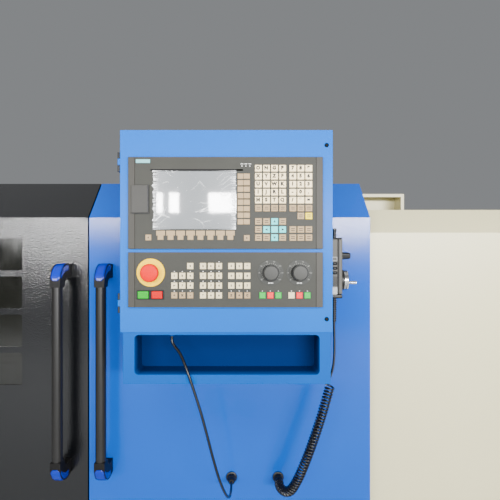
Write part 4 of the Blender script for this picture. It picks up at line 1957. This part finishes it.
def build():
    left_pedestal = pedestal("left_pedestal", (LEFT_END_X, LEFT_END_X + LEFT_PEDESTAL_WIDTH))
    right_pedestal = pedestal("right_pedestal", (RIGHT_END_X - RIGHT_PEDESTAL_WIDTH, RIGHT_END_X))
    assembly("machine", (0, 0, 0), [
        left_pedestal, right_pedestal, chip_pan(), bed(), left_cover(), right_cover(), upper_rail(),
        rear_guard(), electrical_cabinet(), headstock(), main_motor(),
    ])
    assembly("z_screw_axis", (SCREW_LEFT_X, SCREW_Y, SCREW_Z), [ball_screw()])
    jaws = [chuck_jaw(i) for i in range(JAW_COUNT)]
    assembly("spindle_axis", (SPINDLE_NOSE_X, SPINDLE_Y, SPINDLE_Z), [spindle(), chuck(), *jaws])
    assembly("saddle_slide", (SADDLE_X, 0, BED_TOP_Z), [saddle()])
    assembly("cross_slide_way", (SADDLE_X, CROSS_FRONT_Y, BED_TOP_Z), [cross_slide()])
    assembly("turret_axis", (SADDLE_X, TURRET_Y, BED_TOP_Z), [tool_turret()])
    assembly("tailstock_way", (TAILSTOCK_LEFT_X, SPINDLE_Y, BED_TOP_Z), [tailstock()])
    assembly("quill_axis", (TAILSTOCK_LEFT_X, SPINDLE_Y, SPINDLE_Z), [tailstock_quill()])

    left_handle = door_handle("left", DOOR_SEAM_X - LEFT_HANDLE_FROM_SEAM)
    right_handle = door_handle("right", DOOR_SEAM_X + RIGHT_HANDLE_FROM_SEAM)
    assembly("left_door_way", (LEFT_DOOR_EDGE_X, DOOR_FACE_Y, DOOR_BOTTOM_Z),
             [left_door(), left_door_window(), *left_handle])
    cords = [
        cord("pendant_lead", LEAD_ROUTE, LEAD_POINTS, LEAD_RADIUS, 2),
        cord("curly_cord", COIL_ROUTE, COIL_POINTS, COIL_RADIUS, 3),
        cord("service_cable", CABLE_ROUTE, CABLE_POINTS, CABLE_RADIUS, 2),
    ]
    assembly("right_door_way", (RIGHT_DOOR_EDGE_X, DOOR_FACE_Y, DOOR_BOTTOM_Z), [
        right_door(), *right_handle, console_box(), tool_pocket(), hinge("upper_hinge", UPPER_HINGE_Z),
        hinge("lower_hinge", LOWER_HINGE_Z), pendant_holder(), pendant_body(), strain_relief(), *cords,
        gland("curly_cord_gland", COIL_GLAND_X), gland("service_cable_gland", CABLE_GLAND_X),
    ])
    assembly("pendant_axis_knob_axis", (PENDANT_LEFT_X, PENDANT_Y, SELECTOR_Z), [pendant_axis_knob()])
    assembly("pendant_wheel_axis", (PENDANT_LEFT_X, PENDANT_Y, WHEEL_Z), [pendant_wheel()])

    assembly("console_hinge_axis", (HINGE_X, HINGE_Y, UPPER_HINGE_Z), [
        console_door(), display_unit(), display_screen(), display_keypad(), control_panel(),
        control_keypad(),
        estop_collar(),
    ])
    assembly(
        "upper_lock_axis", (LOCK_X, CONSOLE_FACE_Y, UPPER_LOCK_Z),
        [quarter_lock("upper_lock", UPPER_LOCK_Z)],
    )
    assembly(
        "lower_lock_axis", (LOCK_X, CONSOLE_FACE_Y, LOWER_LOCK_Z),
        [quarter_lock("lower_lock", LOWER_LOCK_Z)],
    )
    assembly("card_flap_axis",
             (UNIT_LEFT_X + FLAP_LEFT, UNIT_FACE_Y - SEAT_GAP, DISPLAY_BOTTOM_Z + FLAP_BASE),
             [card_flap()])
    panel_z = CONTROL_BOTTOM_Z + KNOB_Z
    button_z = CONTROL_BOTTOM_Z + BUTTON_Z
    assembly("estop_axis", (UNIT_LEFT_X + ESTOP_X, UNIT_FACE_Y, panel_z), [estop_button()])
    assembly("power_on_axis", (UNIT_LEFT_X + GREEN_BUTTON_X, UNIT_FACE_Y, button_z),
             [push_button("power_on_button", GREEN_BUTTON_X, "green_plastic")])
    assembly("power_off_axis", (UNIT_LEFT_X + RED_BUTTON_X, UNIT_FACE_Y, button_z),
             [push_button("power_off_button", RED_BUTTON_X, "red_plastic")])
    assembly("spindle_override_axis", (UNIT_LEFT_X + SPINDLE_KNOB_X, UNIT_FACE_Y, panel_z),
             [override_knob("spindle_override_knob", SPINDLE_KNOB_X)])
    assembly("feed_override_axis", (UNIT_LEFT_X + FEED_KNOB_X, UNIT_FACE_Y, panel_z),
             [override_knob("feed_override_knob", FEED_KNOB_X)])


clear_scene()
SHAPES = collection("cnc_turning_lathe")
TOOLS = collection("cutters")
build()
